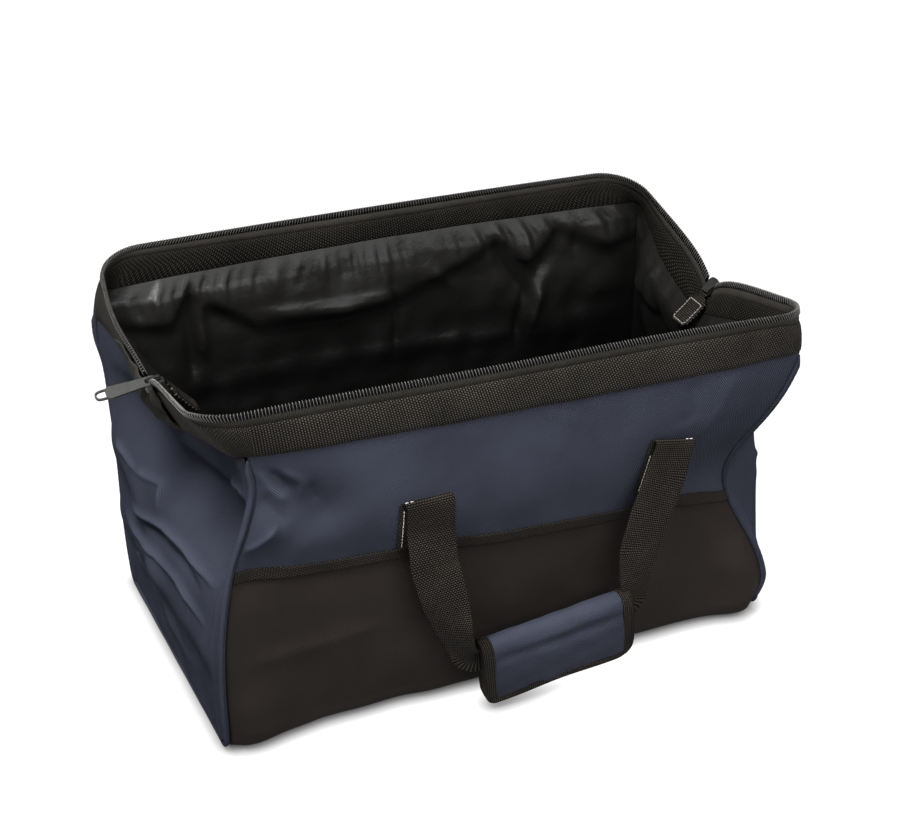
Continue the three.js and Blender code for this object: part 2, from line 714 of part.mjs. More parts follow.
for (const half of ['front', 'back']) {
  add(`${half}_rim_band`, rimBand(half), WEBBING);
  add(`${half}_zip_tape`, zipTape(half), WEBBING);
  add(`${half}_zip_coil`, zipCoil(half), COIL_GREY);
}

// Zip ends

function sliderBody() {
  const front = SLIDER_LENGTH / 2;
  const half = SLIDER_WIDTH / 2;
  const outline = new THREE.Shape();
  outline.moveTo(-front, -half * 0.6);
  outline.lineTo(-front, half * 0.6);
  outline.quadraticCurveTo(0, half * 0.75, front * 0.4, half);
  outline.quadraticCurveTo(front, half, front, half * 0.3);
  outline.lineTo(front, -half * 0.3);
  outline.quadraticCurveTo(front, -half, front * 0.4, -half);
  outline.quadraticCurveTo(0, -half * 0.75, -front, -half * 0.6);
  return plate(outline, SLIDER_THICKNESS, 4);
}

function sliderBail() {
  const end = BAIL_HALF_LENGTH;
  const foot = SLIDER_THICKNESS / 2;
  const turn = BAIL_HEIGHT - BAIL_ROUND;
  const outline = new THREE.Shape();
  outline.moveTo(-end, foot - 0.8);
  outline.lineTo(-end, turn);
  outline.quadraticCurveTo(-end, BAIL_HEIGHT, BAIL_ROUND - end, BAIL_HEIGHT);
  outline.lineTo(end - BAIL_ROUND, BAIL_HEIGHT);
  outline.quadraticCurveTo(end, BAIL_HEIGHT, end, turn);
  outline.lineTo(end, foot - 0.8);
  const inner = end - BAIL_WALL;
  const window = new THREE.Path();
  window.moveTo(-inner, foot);
  window.lineTo(inner, foot);
  window.lineTo(inner, BAIL_HEIGHT - BAIL_WALL);
  window.lineTo(-inner, BAIL_HEIGHT - BAIL_WALL);
  outline.holes.push(window);
  return plate(outline, BAIL_WIDTH, 4).rotateX(Math.PI / 2);
}

// A pull along +X: the eye at the pin, a plate that widens and a ring at its end
function pullPlate() {
  const end = PULL_LENGTH;
  const ringTurn = end - 5;
  const outline = new THREE.Shape();
  outline.moveTo(-PIN_RADIUS, PIN_RADIUS - PULL_NECK);
  outline.lineTo(-PIN_RADIUS, PULL_NECK - PIN_RADIUS);
  outline.quadraticCurveTo(0, PULL_NECK, 2, PULL_NECK);
  outline.lineTo(10, PULL_NECK);
  outline.lineTo(RING_START - 4, PULL_BROAD);
  outline.quadraticCurveTo(RING_START - 1, PULL_BROAD, RING_START, RING_HALF);
  outline.lineTo(ringTurn, RING_HALF);
  outline.quadraticCurveTo(end, RING_HALF, end, 0);
  outline.quadraticCurveTo(end, -RING_HALF, ringTurn, -RING_HALF);
  outline.lineTo(RING_START, -RING_HALF);
  outline.quadraticCurveTo(RING_START - 1, -PULL_BROAD, RING_START - 4, -PULL_BROAD);
  outline.lineTo(10, -PULL_NECK);
  outline.lineTo(2, -PULL_NECK);
  outline.quadraticCurveTo(0, -PULL_NECK, -PIN_RADIUS, PIN_RADIUS - PULL_NECK);
  const eye = new THREE.Path();
  eye.moveTo(PIN_RADIUS, -EYE_HALF);
  eye.lineTo(EYE_END, -EYE_HALF);
  eye.quadraticCurveTo(EYE_END + RING_WALL, 0, EYE_END, EYE_HALF);
  eye.lineTo(PIN_RADIUS, EYE_HALF);
  const hole = RING_HALF - RING_WALL;
  const ring = new THREE.Path();
  ring.moveTo(RING_START + RING_WALL / 2, -hole);
  ring.lineTo(ringTurn, -hole);
  ring.quadraticCurveTo(end - RING_WALL, -hole, end - RING_WALL, 0);
  ring.quadraticCurveTo(end - RING_WALL, hole, ringTurn, hole);
  ring.lineTo(RING_START + RING_WALL / 2, hole);
  outline.holes.push(eye, ring);
  return plate(outline, PULL_THICKNESS, 3);
}

// A sewn tab along +X, narrow where it comes out of the slider
function tabPlate() {
  const half = TAB_WIDTH / 2;
  const end = TAB_LENGTH;
  const outline = new THREE.Shape();
  outline.moveTo(0, -TAB_NECK);
  outline.lineTo(TAB_NECK_LENGTH, -TAB_NECK);
  outline.lineTo(TAB_SHOULDER, -half);
  outline.lineTo(end - TAB_ROUND, -half);
  outline.quadraticCurveTo(end, -half, end, TAB_ROUND - half);
  outline.lineTo(end, half - TAB_ROUND);
  outline.quadraticCurveTo(end, half, end - TAB_ROUND, half);
  outline.lineTo(TAB_SHOULDER, half);
  outline.lineTo(TAB_NECK_LENGTH, TAB_NECK);
  outline.lineTo(0, TAB_NECK);
  return plate(outline, TAB_THICKNESS, 4);
}

// Turns a piece that lies along +X so that it slopes in the XZ plane, and sets it in its place
function sloped(mesh, degrees, x, z) {
  mesh.rotation.y = -THREE.MathUtils.degToRad(degrees);
  mesh.position.set(x, 0, z);
}

for (const row of ZIP_ENDS) {
  const inward = THREE.MathUtils.degToRad(row.side < 0 ? row.slope : 180 - row.slope);
  const chain = new THREE.Vector2(Math.cos(inward), Math.sin(inward));
  const face = new THREE.Vector2(-chain.y, chain.x).multiplyScalar(row.face * -row.side);
  const centre = new THREE.Vector2(...row.centre);
  const slider = add(`zip_slider_${row.end}`, joined(sliderBody(), sliderBail()), DARK_METAL);
  slider.rotation.order = 'YXZ';
  slider.rotation.x = face.dot(new THREE.Vector2(chain.y, -chain.x)) > 0 ? 0 : Math.PI;
  sloped(slider, THREE.MathUtils.radToDeg(inward) + 180, centre.x, centre.y);
  const pin = centre.clone().addScaledVector(face, PIN_LIFT);
  sloped(add(`zip_pull_${row.end}`, pullPlate(), DARK_METAL), row.pull, pin.x, pin.y);
  const drop = row.side < 0 ? row.tab : 180 - row.tab;
  const lean = Math.abs(Math.sin(THREE.MathUtils.degToRad(drop) - inward));
  const tail = centre.clone().addScaledVector(chain, SLIDER_LENGTH / 2 + GAP + lean * TAB_THICKNESS / 2);
  sloped(add(`zip_tab_${row.end}`, tabPlate(), WEBBING), drop, tail.x, tail.y);
}

// Handles

const strapValues = ['x', 'z', 'stand', 'sewn', 'width', 'turn', 'twist'];

function strapCurve() {
  const at = [0];
  for (let k = 1; k < STRAP_ROWS.length; k += 1) {
    const a = STRAP_ROWS[k - 1];
    const b = STRAP_ROWS[k];
    at.push(at[k - 1] + Math.hypot(b.x - a.x, b.z - a.z, b.stand - a.stand));
  }
  const samples = STRAP_ROWS.flatMap((row) => strapValues.map((name) => row[name]));
  return { at, curve: new THREE.LinearInterpolant(at, samples, strapValues.length) };
}

// Outer face of a wall at a place on it
function wallFace(name, x, z) {
  let s = name === 'front' ? 0.5 + x / BASE_LENGTH : 0.5 - x / BASE_LENGTH;
  for (let k = 0; k < 4; k += 1) {
    const here = wallPoint(name, s, z / wallTop(name, s));
    s += (x - here.x) / wallLength(name, 0.5) * (name === 'front' ? 1 : -1);
  }
  return wallPoint(name, s, z / wallTop(name, s)).y;
}

// How a flat strip lies on a wall: the outermost depth under it and its slope along X
function wallLay(half, x, z, width) {
  const face = HALVES[half].face;
  const [left, middle, right] = [-0.5, 0, 0.5].map((share) => wallFace(half, x + share * width, z));
  const depth = face * Math.max(face * middle, face * (left + right) / 2);
  return { depth, slope: (right - left) / width };
}

function strapStations(half) {
  const { at, curve } = strapCurve();
  const face = HALVES[half].face;
  const clear = PANEL_THICKNESS / 2 + GAP + STRAP_THICKNESS / 2 + 0.25;
  const places = [];
  for (let k = 0; k < at.length - 1; k += 1) {
    const parts = Math.max(1, Math.round((at[k + 1] - at[k]) / at[at.length - 1] * STRAP_STEPS));
    for (let n = 0; n < parts; n += 1) {
      places.push(lerp(at[k], at[k + 1], n / parts));
    }
  }
  places.push(at[at.length - 1]);
  return places.map((place) => {
    const [x, z, stand, sewn, width, turn, twist] = curve.evaluate(place);
    const free = face * (BASE_WIDTH / 2 + stand);
    const lay = wallLay(half, x, Math.max(z, 60), width);
    const held = lay.depth + face * (clear + stand);
    const point = new THREE.Vector3(x, lerp(free, held, sewn), z);
    return { point, width, turn, twist, slope: sewn * lay.slope };
  });
}

function strap(half) {
  const stations = strapStations(half);
  return strip(stations.map((station, k) => {
    const ahead = stations[Math.min(k + 1, stations.length - 1)].point.clone();
    const tangent = ahead.sub(stations[Math.max(k - 1, 0)].point).normalize();
    const turn = THREE.MathUtils.degToRad(station.turn);
    const twist = THREE.MathUtils.degToRad(station.twist);
    const across = new THREE.Vector3(Math.cos(turn), 0, Math.sin(turn)).multiplyScalar(Math.cos(twist));
    across.y = HALVES[half].face * Math.sin(twist) + station.slope * across.x;
    across.addScaledVector(tangent, -across.dot(tangent)).normalize();
    const thick = tangent.clone().cross(across);
    const at = (u, v) => station.point.clone()
      .addScaledVector(across, u * station.width / 2)
      .addScaledVector(thick, v * STRAP_THICKNESS / 2);
    return [at(1, 1), at(-1, 1), at(-1, -1), at(1, -1)];
  }));
}

// Section of the grip across the strap, with the tunnel that the strap runs through
function gripSection(foot) {
  const up = GRIP_HALF_HEIGHT;
  const side = GRIP_HALF_DEPTH;
  const section = new THREE.Shape();
  section.moveTo(-GRIP_FOOT_DEPTH, foot);
  section.lineTo(GRIP_FOOT_DEPTH, foot);
  section.lineTo(side, up - 14);
  section.quadraticCurveTo(side, up, 0, up);
  section.quadraticCurveTo(-side, up, -side, up - 14);
  const tunnel = new THREE.Path();
  tunnel.moveTo(-GRIP_TUNNEL_DEPTH, GRIP_TUNNEL_UP - GRIP_TUNNEL_HALF);
  tunnel.lineTo(GRIP_TUNNEL_DEPTH, GRIP_TUNNEL_UP - GRIP_TUNNEL_HALF);
  tunnel.lineTo(GRIP_TUNNEL_DEPTH, GRIP_TUNNEL_UP + GRIP_TUNNEL_HALF);
  tunnel.lineTo(-GRIP_TUNNEL_DEPTH, GRIP_TUNNEL_UP + GRIP_TUNNEL_HALF);
  section.holes.push(tunnel);
  return section;
}

// Lays an extrusion along the grip: its section's axes become Y and Z, and its depth becomes X
const ALONG_GRIP = new THREE.Matrix4().makeBasis(
  new THREE.Vector3(0, 1, 0),
  new THREE.Vector3(0, 0, 1),
  new THREE.Vector3(1, 0, 0),
);

function gripPad() {
  const length = GRIP_LENGTH - 2 * BINDING_WIDTH - 2 * GAP;
  return plate(gripSection(-GRIP_HALF_HEIGHT), length, 5).applyMatrix4(ALONG_GRIP);
}

function gripBinding() {
  const foot = -GRIP_HALF_HEIGHT - GAP - BINDING_FOOT;
  const middle = (GRIP_LENGTH - BINDING_WIDTH) / 2;
  const ends = [-1, 1].map((side) => {
    const end = plate(gripSection(foot), BINDING_WIDTH, 5).applyMatrix4(ALONG_GRIP);
    return end.translate(side * middle, 0, 0);
  });
  const edge = closed(new THREE.BoxGeometry(GRIP_LENGTH - 2, 2 * GRIP_FOOT_DEPTH - 1, BINDING_FOOT));
  edge.translate(0, 0, foot + BINDING_FOOT / 2);
  return joined(...ends, edge);
}

for (const half of ['front', 'back']) {
  add(`${half}_handle_strap`, strap(half), WEBBING);
  const pad = add(`${half}_handle_grip`, gripPad(), NAVY);
  const binding = add(`${half}_grip_binding`, gripBinding(), WEBBING);
  for (const piece of [pad, binding]) {
    piece.rotation.y = -GRIP_TILT;
    piece.position.set(GRIP_CENTRE[0], HALVES[half].face * (BASE_WIDTH / 2 + GRIP_STAND), GRIP_CENTRE[1]);
  }
}

export default bag;
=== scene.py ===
"""Looks of an open wide-mouth tool bag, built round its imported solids.

+Z is up. Tables and shapes are in millimetres.
"""
import math

import bmesh
import bpy
import numpy as np
from mathutils import Matrix, Vector


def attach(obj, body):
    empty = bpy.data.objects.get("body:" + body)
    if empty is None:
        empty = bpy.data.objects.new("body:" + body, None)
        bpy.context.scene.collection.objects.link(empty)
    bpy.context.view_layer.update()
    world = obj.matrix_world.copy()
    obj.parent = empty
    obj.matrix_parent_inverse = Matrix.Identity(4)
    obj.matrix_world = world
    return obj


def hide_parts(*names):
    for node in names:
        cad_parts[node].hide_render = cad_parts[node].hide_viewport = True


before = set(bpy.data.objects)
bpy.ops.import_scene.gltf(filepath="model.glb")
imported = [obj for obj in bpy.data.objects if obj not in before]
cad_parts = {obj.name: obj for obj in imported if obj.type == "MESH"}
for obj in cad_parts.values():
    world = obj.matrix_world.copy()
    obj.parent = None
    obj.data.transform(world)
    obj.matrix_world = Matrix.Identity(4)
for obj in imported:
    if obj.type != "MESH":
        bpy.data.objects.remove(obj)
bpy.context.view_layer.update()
scene = bpy.context.scene

MM = 0.001
TAU = 2 * math.pi
WHITE = (1.0, 1.0, 1.0, 1.0)

# Camera: place, aim, lens and sensor of the photograph
CAMERA_PLACE = (-421.9, -1011.7, 817.3)
CAMERA_AIM = (0.0, 1.84, 168.0)
CAMERA_LENS = 61.38
SENSOR_WIDTH = 36.0

# Light: strength of the world below and above the horizon; each lamp's name, place, size and power
LIGHT_BELOW = 0.5
LIGHT_ABOVE = 0.14
HORIZON = 0.1
LAMPS = [
    ("lamp_top", (200, -1100, 1450), 1800, 38.0),
    ("lamp_left", (-620, -300, 1550), 600, 40.0),
]
LAMP_AIM = (0, 0, 150)

# Floor: half its side, its paint, and the reach and fall of the painted shadow beside what stands on it
FLOOR_HALF = 6000
FLOOR_COLOUR = (0.1, 0.1, 0.1, 1)
FLOOR_ROUGHNESS = 0.9
CONTACT_REACH = 12
CONTACT_FALL = 1.4

# Cloth and trim
GAP = 0.35
BASE_WIDTH = 264.0
BASE_LENGTH = 480.0
PANEL_THICKNESS = 2.0
PANEL_TOP = 1.03
PANEL_LAP = 0.01
PANEL_GRID = {"front": (220, 56), "back": (160, 40), "left": (160, 140), "right": (160, 140)}
PIPING_RADIUS = 2.3
PIPING_TAPER = 10.0
PIPING_FULL = 2.8
PIPING_TOP = 0.993
PIPING_PITCH = 5.2
PIPING_SIDES = 12
PIPING_TIP = 0.3
PIPING_RIB = 0.03
EDGE_CROWD = 0.09
PANEL_INSET = PIPING_RADIUS + 2 * GAP
BOTTOM_ROUND = 13.0
ROUND_TOP = BOTTOM_ROUND + 1
END_FOOT = 2 * PIPING_RADIUS + 2 * GAP + 0.4
HEM_HEIGHT = 9.5
HEM_THICKNESS = 1.0
HEM_LIFT = (PANEL_THICKNESS + HEM_THICKNESS) / 2 + 2 * GAP

# Stitches: length, pitch and radius of each kind, and how they lie
STRAP_STITCH = (2.4, 3.2, 0.3)
FOLD_STITCH = (2.4, 3.0, 0.34)
BAR_STITCH = (2.2, 2.3, 0.4)
END_STITCH = (2.2, 3.0, 0.4)
STITCH_INSET = 3
STITCH_SIDES = 5
THREAD_LIFT = 0.15

# Unevenness of each cloth: rise, seed, shortest wave, longest wave and number of waves
RIPPLES = {
    "wall": (0.55, 11, 35, 130, 10),
    "lining": (1.2, 31, 14, 60, 14),
    "gathers": (5, 51, 9, 24, 8),
    "pad": (0.5, 71, 12, 60, 10),
    "binding": (1.2, 83, 18, 60, 10),
    "flap": (0.25, 91, 9, 30, 10),
}

# The four sewn corners in plan, x and y, from the floor to the lower edge of the rim
CORNER_AT = np.array([0.0, 0.25, 0.45, 0.66, 0.8, 0.9, 1.0])
CORNERS = {
    "front_left": ([-240, -240, -236, -225, -211, -205, -209], [-132, -134, -134, -133, -131, -130, -130]),
    "front_right": ([240, 240, 241, 241, 241, 243, 247], [-132, -133, -133, -132, -132, -132, -132]),
    "back_right": ([246, 248, 248, 249, 250, 249, 246], [132, 134, 135, 136, 137, 138, 138]),
    "back_left": ([-257, -256, -254, -254, -255, -259, -258], [117, 127, 133, 136, 137, 138, 138]),
}
CORNER_TOP = {"front_left": 256, "front_right": 247, "back_right": 261, "back_left": 260}
WALL_HEIGHT = CORNER_TOP["front_left"]
END_TOP = {"left": 217, "right": 209}
END_CURVE = 1.15

# Each wall: its corners, its way out, its swell, where up the wall and how wide, and how far its top leans in
WALLS = {
    "front": dict(ends=("front_left", "front_right"), out=(0, -1), swell=10, at=0.78, spread=0.22, lean=0),
    "right": dict(ends=("front_right", "back_right"), out=(1, 0), swell=14, at=0.38, spread=0.24, lean=20),
    "back": dict(ends=("back_right", "back_left"), out=(0, 1), swell=6, at=0.7, spread=0.25, lean=0),
    "left": dict(ends=("back_left", "front_left"), out=(-1, 0), swell=3, at=0.5, spread=0.25, lean=6),
}
RING = list(WALLS)

# Dent of the right front corner, and how the cloth lies beside corners, seams and floor
DENT = dict(x=-39, y=26, at=0.525, spread=0.18, along_front=75, along_end=21)
CORNER_TUCK = 10.0
SEAM_FADE = 14.0
SEAM_GROOVE = dict(depth=3.0, width=3.5)
SEAM_RIDGE = dict(rise=1.8, at=10, width=3)
FOOT_FADE = 16

# Painted highlight that makes the crests of the creases paler where they rise further than a least height
CREST_FROM = 3
CREST_WIDTH = 2.2
CREST_RISE = 6.0
CREST_LIGHT = 0.8

# Broad folds of the outer cloth on each wall: line of places, width and rise
FOLDS = {
    "front": [
        ([(0.01, 0.9), (0.13, 0.8)], 13, -5),
        ([(0.01, 0.8), (0.11, 0.72)], 11, 4),
        ([(0.13, 0.78), (0.02, 0.63)], 12, -3),
        ([(0.99, 0.55), (0.87, 0.68)], 16, -1.5),
        ([(0.08, 0.62), (0.4, 0.57)], 18, -5),
        ([(0.99, 0.45), (0.86, 0.36)], 16, 3),
        ([(0.05, 0.05), (0.05, 0.13)], 15, 7),
        ([(0.17, 0.05), (0.3, 0.05)], 13, -3),
        ([(0.955, 0.05), (0.95, 0.2)], 17, 9),
    ],
    "left": [
        ([(0.08, 0.3), (0.44, 0.36)], 14, 5),
        ([(0.44, 0.36), (0.9, 0.35)], 14, 5),
        ([(0.05, 0.55), (0.36, 0.5)], 13, 4),
        ([(0.25, 0.78), (0.62, 0.76), (0.95, 0.72)], 20, -22),
    ],
    "right": [
        ([(0.2, 0.8), (0.3, 0.25)], 18, -4),
        ([(0.75, 0.9), (0.6, 0.4)], 20, -4),
    ],
}

# Crisp creases of the outer cloth, in the same columns
CREASES = {
    "left": [
        ([(0.195, 0.44), (0.34, 0.5), (0.495, 0.578), (0.675, 0.588), (0.845, 0.57), (0.907, 0.565)], 3.6, 5),
        ([(0.138, 0.345), (0.328, 0.393), (0.478, 0.445), (0.652, 0.458), (0.785, 0.443), (0.895, 0.427)],
         3.6, 4.5),
        ([(0.3, 0.46), (0.48, 0.515), (0.66, 0.525), (0.82, 0.51)], 6, -4),
        ([(0.088, 0.583), (0.24, 0.59)], 3, 3.5),
        ([(0.24, 0.59), (0.393, 0.662), (0.425, 0.585)], 4, 3.5),
        ([(0.235, 0.27), (0.245, 0.205)], 4, 3),
        ([(0.33, 0.858), (0.492, 0.85), (0.66, 0.83), (0.833, 0.843)], 13, -8),
        ([(0.87, 0.893), (0.93, 0.878), (0.965, 0.863)], 5, 4),
        ([(0.45, 0.2), (0.75, 0.16)], 10, 1.6),
    ],
    "front": [
        ([(0.01, 0.96), (0.03, 0.89), (0.063, 0.84)], 4, 3.4),
        ([(0.05, 0.95), (0.08, 0.9), (0.085, 0.84)], 4, 2.8),
        ([(0.035, 0.95), (0.065, 0.87)], 4, -2.6),
        ([(0.05, 0.78), (0.028, 0.73), (0.01, 0.71)], 4, 3.4),
        ([(0.01, 0.87), (0.055, 0.8), (0.07, 0.78)], 5, -3.2),
        ([(0.093, 0.89), (0.115, 0.82)], 5, -2.4),
        ([(0.78, 1.0), (0.794, 0.83)], 12, -2.4),
        ([(0.86, 1.0), (0.84, 0.76)], 10, 1.6),
        ([(0.3, 0.97), (0.36, 0.8)], 14, -1.4),
        ([(0.55, 0.97), (0.52, 0.82)], 14, 1.2),
        ([(0.98, 0.31), (0.967, 0.25)], 3, 2.2),
        ([(0.05, 0.32), (0.27, 0.35)], 9, 2.4),
        ([(0.88, 0.49), (0.975, 0.43)], 6, 2.4),
        ([(0.6, 0.28), (0.84, 0.24)], 16, 1.8),
    ],
    "right": [
        ([(0.1, 0.55), (0.5, 0.5)], 5, 2.4),
        ([(0.1, 0.66), (0.45, 0.72)], 5, -2.2),
        ([(0.14, 0.48), (0.3, 0.36), (0.8, 0.36)], 7, 1.8),
        ([(0.55, 0.75), (0.9, 0.6)], 6, -2.0),
    ],
    "back": [
        ([(0.2, 0.95), (0.26, 0.65)], 10, 1.6),
        ([(0.6, 0.9), (0.55, 0.62)], 12, -1.4),
        ([(0.05, 0.7), (0.2, 0.6)], 7, 1.8),
        ([(0.94, 0.8), (0.8, 0.66)], 7, 1.8),
        ([(0.3, 0.4), (0.7, 0.36)], 14, 1.8),
    ],
}

# Broad folds of the lining, which stand into the bag, and its crisp creases
LINING_FOLDS = {
    "back": [
        ([(0.9, 1.0), (0.93, 0.45)], 16, 7),
        ([(0.53, 1.0), (0.52, 0.6)], 16, 5),
        ([(0.3, 1.0), (0.2, 0.6)], 18, 6),
    ],
    "right": [
        ([(0.75, 0.95), (0.8, 0.5)], 18, 7),
    ],
    "left": [
        ([(0.3, 0.9), (0.25, 0.4)], 18, 6),
    ],
}
LINING_CREASES = {
    "back": [
        ([(0.853, 1.02), (0.85, 0.89), (0.858, 0.7)], 6, -9),
        ([(0.832, 1.0), (0.828, 0.95), (0.842, 0.75)], 5, 7),
        ([(0.74, 0.897), (0.6, 0.865), (0.497, 0.885)], 7, 5),
        ([(0.495, 0.973), (0.49, 0.825), (0.495, 0.652)], 3, -4),
        ([(0.65, 1.02), (0.66, 0.96)], 3, -3.5),
        ([(0.57, 1.02), (0.575, 0.97)], 3, -3.5),
        ([(0.302, 1.02), (0.28, 0.895), (0.242, 0.772)], 7, -8),
        ([(0.168, 1.02), (0.19, 0.91), (0.223, 0.825)], 6, -7),
        ([(0.235, 0.807), (0.25, 0.698), (0.255, 0.6)], 5, -6),
        ([(0.212, 0.8), (0.235, 0.652)], 6, 6),
        ([(0.235, 1.0), (0.235, 0.9)], 7, 5),
        ([(0.135, 1.02), (0.137, 0.9)], 5, -4.5),
        ([(0.42, 0.94), (0.37, 0.84)], 6, 3.0),
        ([(0.945, 1.02), (0.925, 0.94)], 4, -4.0),
        ([(0.97, 1.02), (0.975, 0.84)], 4, 3.0),
        ([(0.88, 0.635), (0.68, 0.68), (0.52, 0.67), (0.25, 0.62), (0.06, 0.57)], 2.5, 1.2),
    ],
    "right": [
        ([(0.97, 1.0), (0.9, 0.5)], 7, 6.0),
        ([(0.9, 1.0), (0.78, 0.5)], 7, -6.0),
        ([(0.82, 0.98), (0.66, 0.5)], 8, 6.0),
        ([(0.7, 0.98), (0.55, 0.6)], 8, -5.0),
        ([(0.5, 0.95), (0.45, 0.6)], 8, 5.0),
    ],
    "left": [
        ([(0.12, 1.0), (0.16, 0.6)], 6, 5.0),
        ([(0.05, 1.0), (0.06, 0.7)], 5, -4.0),
    ],
}

# Lining: how loosely it hangs on each wall, its grid, and its place at corners, rim and floor
LINING_LOOSE = {"front": 8.0, "right": 4.0, "back": 6.0, "left": 6.0}
LINING_COLUMNS = {"front": 130, "right": 76, "back": 170, "left": 76}
LINING_INSET = 5.0
LINING_RISE = 18.0
LINING_SKINS = (2.7, 1.9)
LINING_SNUG = 45
LINING_LEVELS = np.concatenate([np.linspace(0.07, 0.9, 44), np.linspace(0.9, 1.0, 10)[1:]])
LINING_FLOOR = (0.02, 0.25, 0.5, 0.75, 0.9, 0.97)
ROUND_CORNER = np.linspace(-0.02, 0.012, 9)
COLLAR_HEIGHTS = np.array([2.0, 4.0, 6.5, 9.0, 11.5, 14.0, 16.0, LINING_RISE])
GATHERS = dict(at=1.02, spread=0.04)

# Lower edge of the stretch where the lining swells out below the rim, along the back wall
SWELL_EDGE = np.array([
    (0, 0.93), (0.07, 0.9), (0.16, 0.99), (0.2, 0.94), (0.24, 0.9), (0.29, 1.0), (0.36, 0.93), (0.48, 0.85),
    (0.62, 0.83), (0.74, 0.84), (0.8, 0.93), (0.845, 1.0), (0.88, 0.9), (1, 0.93),
])
SWELL = 11.0
SWELL_FALL = 0.07
SWELL_FROM = 0.9

# Seam between the upper cloth and the base cloth: height at each end and bow
SEAM = {"front": (166, 114, 13), "back": (145, 145, 0)}
SEAM_BOW = 6.75

# Each half of the rim, its corners along X with the bow of each leg, and the hinges
HALVES = {
    "front": dict(face=-1, half_width=138, top=298.3, droop=0.00008, droop_from=-130, sag=2.5),
    "back": dict(face=1, half_width=145, top=306.5, droop=0.00004, droop_from=-60, sag=0),
}
RIM_CORNERS = {
    "front": {"left": (-245, 1), "right": (250, 0)},
    "back": {"left": (-252, 7), "right": (237, 0)},
}
RIM_RADIUS = 38.0
SAG = dict(x=-30, spread=75)
HINGES = {"left": (-245, 257), "right": (243, 247)}
HINGE_FALL = dict(even=0.65, steep=0.35, reach=0.12)
COLLAR_CORNER = 7.0

# Rim band: its belly, its ends, and how its lower edge lifts away from the hinges
BAND_BELLY = 3.1
BAND_END = 2.0
BAND_LIFT = {"front": 5.0, "back": 0.0}
LIFT_FROM = 112
LIFT_OVER = 16

# Zip
TAPE_HEIGHT = 6.4
COIL_HEIGHT = 6.0
ZIP_END = 6.4
TOOTH_PITCH = 2.4
TOOTH = dict(half_width=1.55, lean=0.3, drop=5.4, top=0.5, radius=0.22, sides=6)

# Ends of the zip: slider centre, slope of the slider and of the sewn tab
ZIP_ENDS = {
    "left": dict(side=-1, centre=(-240.5, 254.5), slope=7, tab=-50),
    "right": dict(side=1, centre=(241.5, 247.0), slope=-37, tab=-43),
}
SLIDER_LENGTH = 15.0
TAB_LENGTH = 34.0
TAB_WIDTH = 22.0
TAB_NECK = 4.5
TAB_ROUND = 6
TAB_STITCHED = (0.3, 0.94)
TAB_THICKNESS = 2.0

# Metal: bevel of its edges, and the left pull's pin, length and twist
METAL_BEVEL = 0.35
LEFT_PIN = (-241.01, 0.0, 258.67)
PULL_WAY = (math.cos(math.radians(187)), 0.0, math.sin(math.radians(187)))
PULL_TWIST = math.radians(-22)

# Flap at each hinge: where it starts and ends from front to back, and its bulge
FLAPS = {"left": (-16.0, 46.0, 8.0), "right": (-26.0, 26.0, 0.0)}
FLAP_DROP = 8.0
FLAP_STAND = 4.0
FLAP_THICKNESS = 0.9

# Handles
STRAP_THICKNESS = 1.8
STRAP_CLEAR = PANEL_THICKNESS / 2 + GAP + STRAP_THICKNESS / 2 + 0.7
STRAP_STATIONS = 420
STRAP_BLEND = 9
STRAP_SOFT = 2.6
STRAP_LOWEST = 60
GRIP_CENTRE = (24.0, 44.0)
GRIP_STAND = 28.0
GRIP_TILT = math.radians(6)
GRIP_LENGTH = 130.0
GRIP_TOP = 30.0
GRIP_SHOULDER = 14
GRIP_FOOT = -32.6
GRIP_CORNERS = (16.0, 9.0)
GRIP_HALF_DEPTH = 9.0
GRIP_FOOT_DEPTH = 5.0
GRIP_ROWS = 27
BINDING_WIDTH = 9.0

# Pad of a grip, with the rise, height and width of its crown and of the groove above it
PAD_MARGIN = 3
PAD_STATIONS = 120
PAD_FORM = [(2.2, -4, 16), (-2.4, 13, 3.2)]

# One handle, from one sewn end to the other: x, z, stand, sewn, width, turn and twist of the webbing
STRAP_ROWS = np.array([
    (-82, 155.5, 0, 1, 38, 0, 0),
    (-82, 176, 0, 1, 38, 0, 0),
    (-81, 198, 0, 1, 38, 0, 0),
    (-79, 202, 2.4, 1, 38, 0, 0),
    (-77, 198, 4.8, 1, 38, 0, 0),
    (-77, 172, 15, 0, 38, 0, 0),
    (-76, 142, 20, 0, 38, 2, 0),
    (-70, 112, 25, 0, 36, 10, 12),
    (-64, 84, 27.5, 0, 31, 25, 35),
    (-58, 65, 28, 0, 25, 50, 38),
    (-53, 54.3, 28, 0, 24, 75, 14),
    (-47, 50.6, 28, 0, 24, 96, 0),
    (-34, 52, 28, 0, 24, 96, 0),
    (22.5, 57.9, 28, 0, 24, 96, 0),
    (79, 63.9, 28, 0, 24, 96, 0),
    (88, 65, 28, 0, 24, 98, 0),
    (91, 69, 28, 0, 24, 120, 4),
    (92, 77, 28, 0, 25, 145, 6),
    (92.5, 91, 27, 0, 29, 158, 2),
    (95.5, 113, 24.5, 0, 36, 164, 0),
    (106, 141, 20, 0, 38, 166, 0),
    (120.5, 171, 15, 0, 38, 168, 0),
    (129, 198, 4.8, 1, 38, 166, 0),
    (127.5, 202, 2.4, 1, 38, 166, 0),
    (125.5, 198, 0, 1, 38, 166, 0),
    (120.5, 165, 0, 1, 38, 168, 0),
    (118, 148.5, 0, 1, 38, 168, 0),
])


# Nodes of a material or of the world

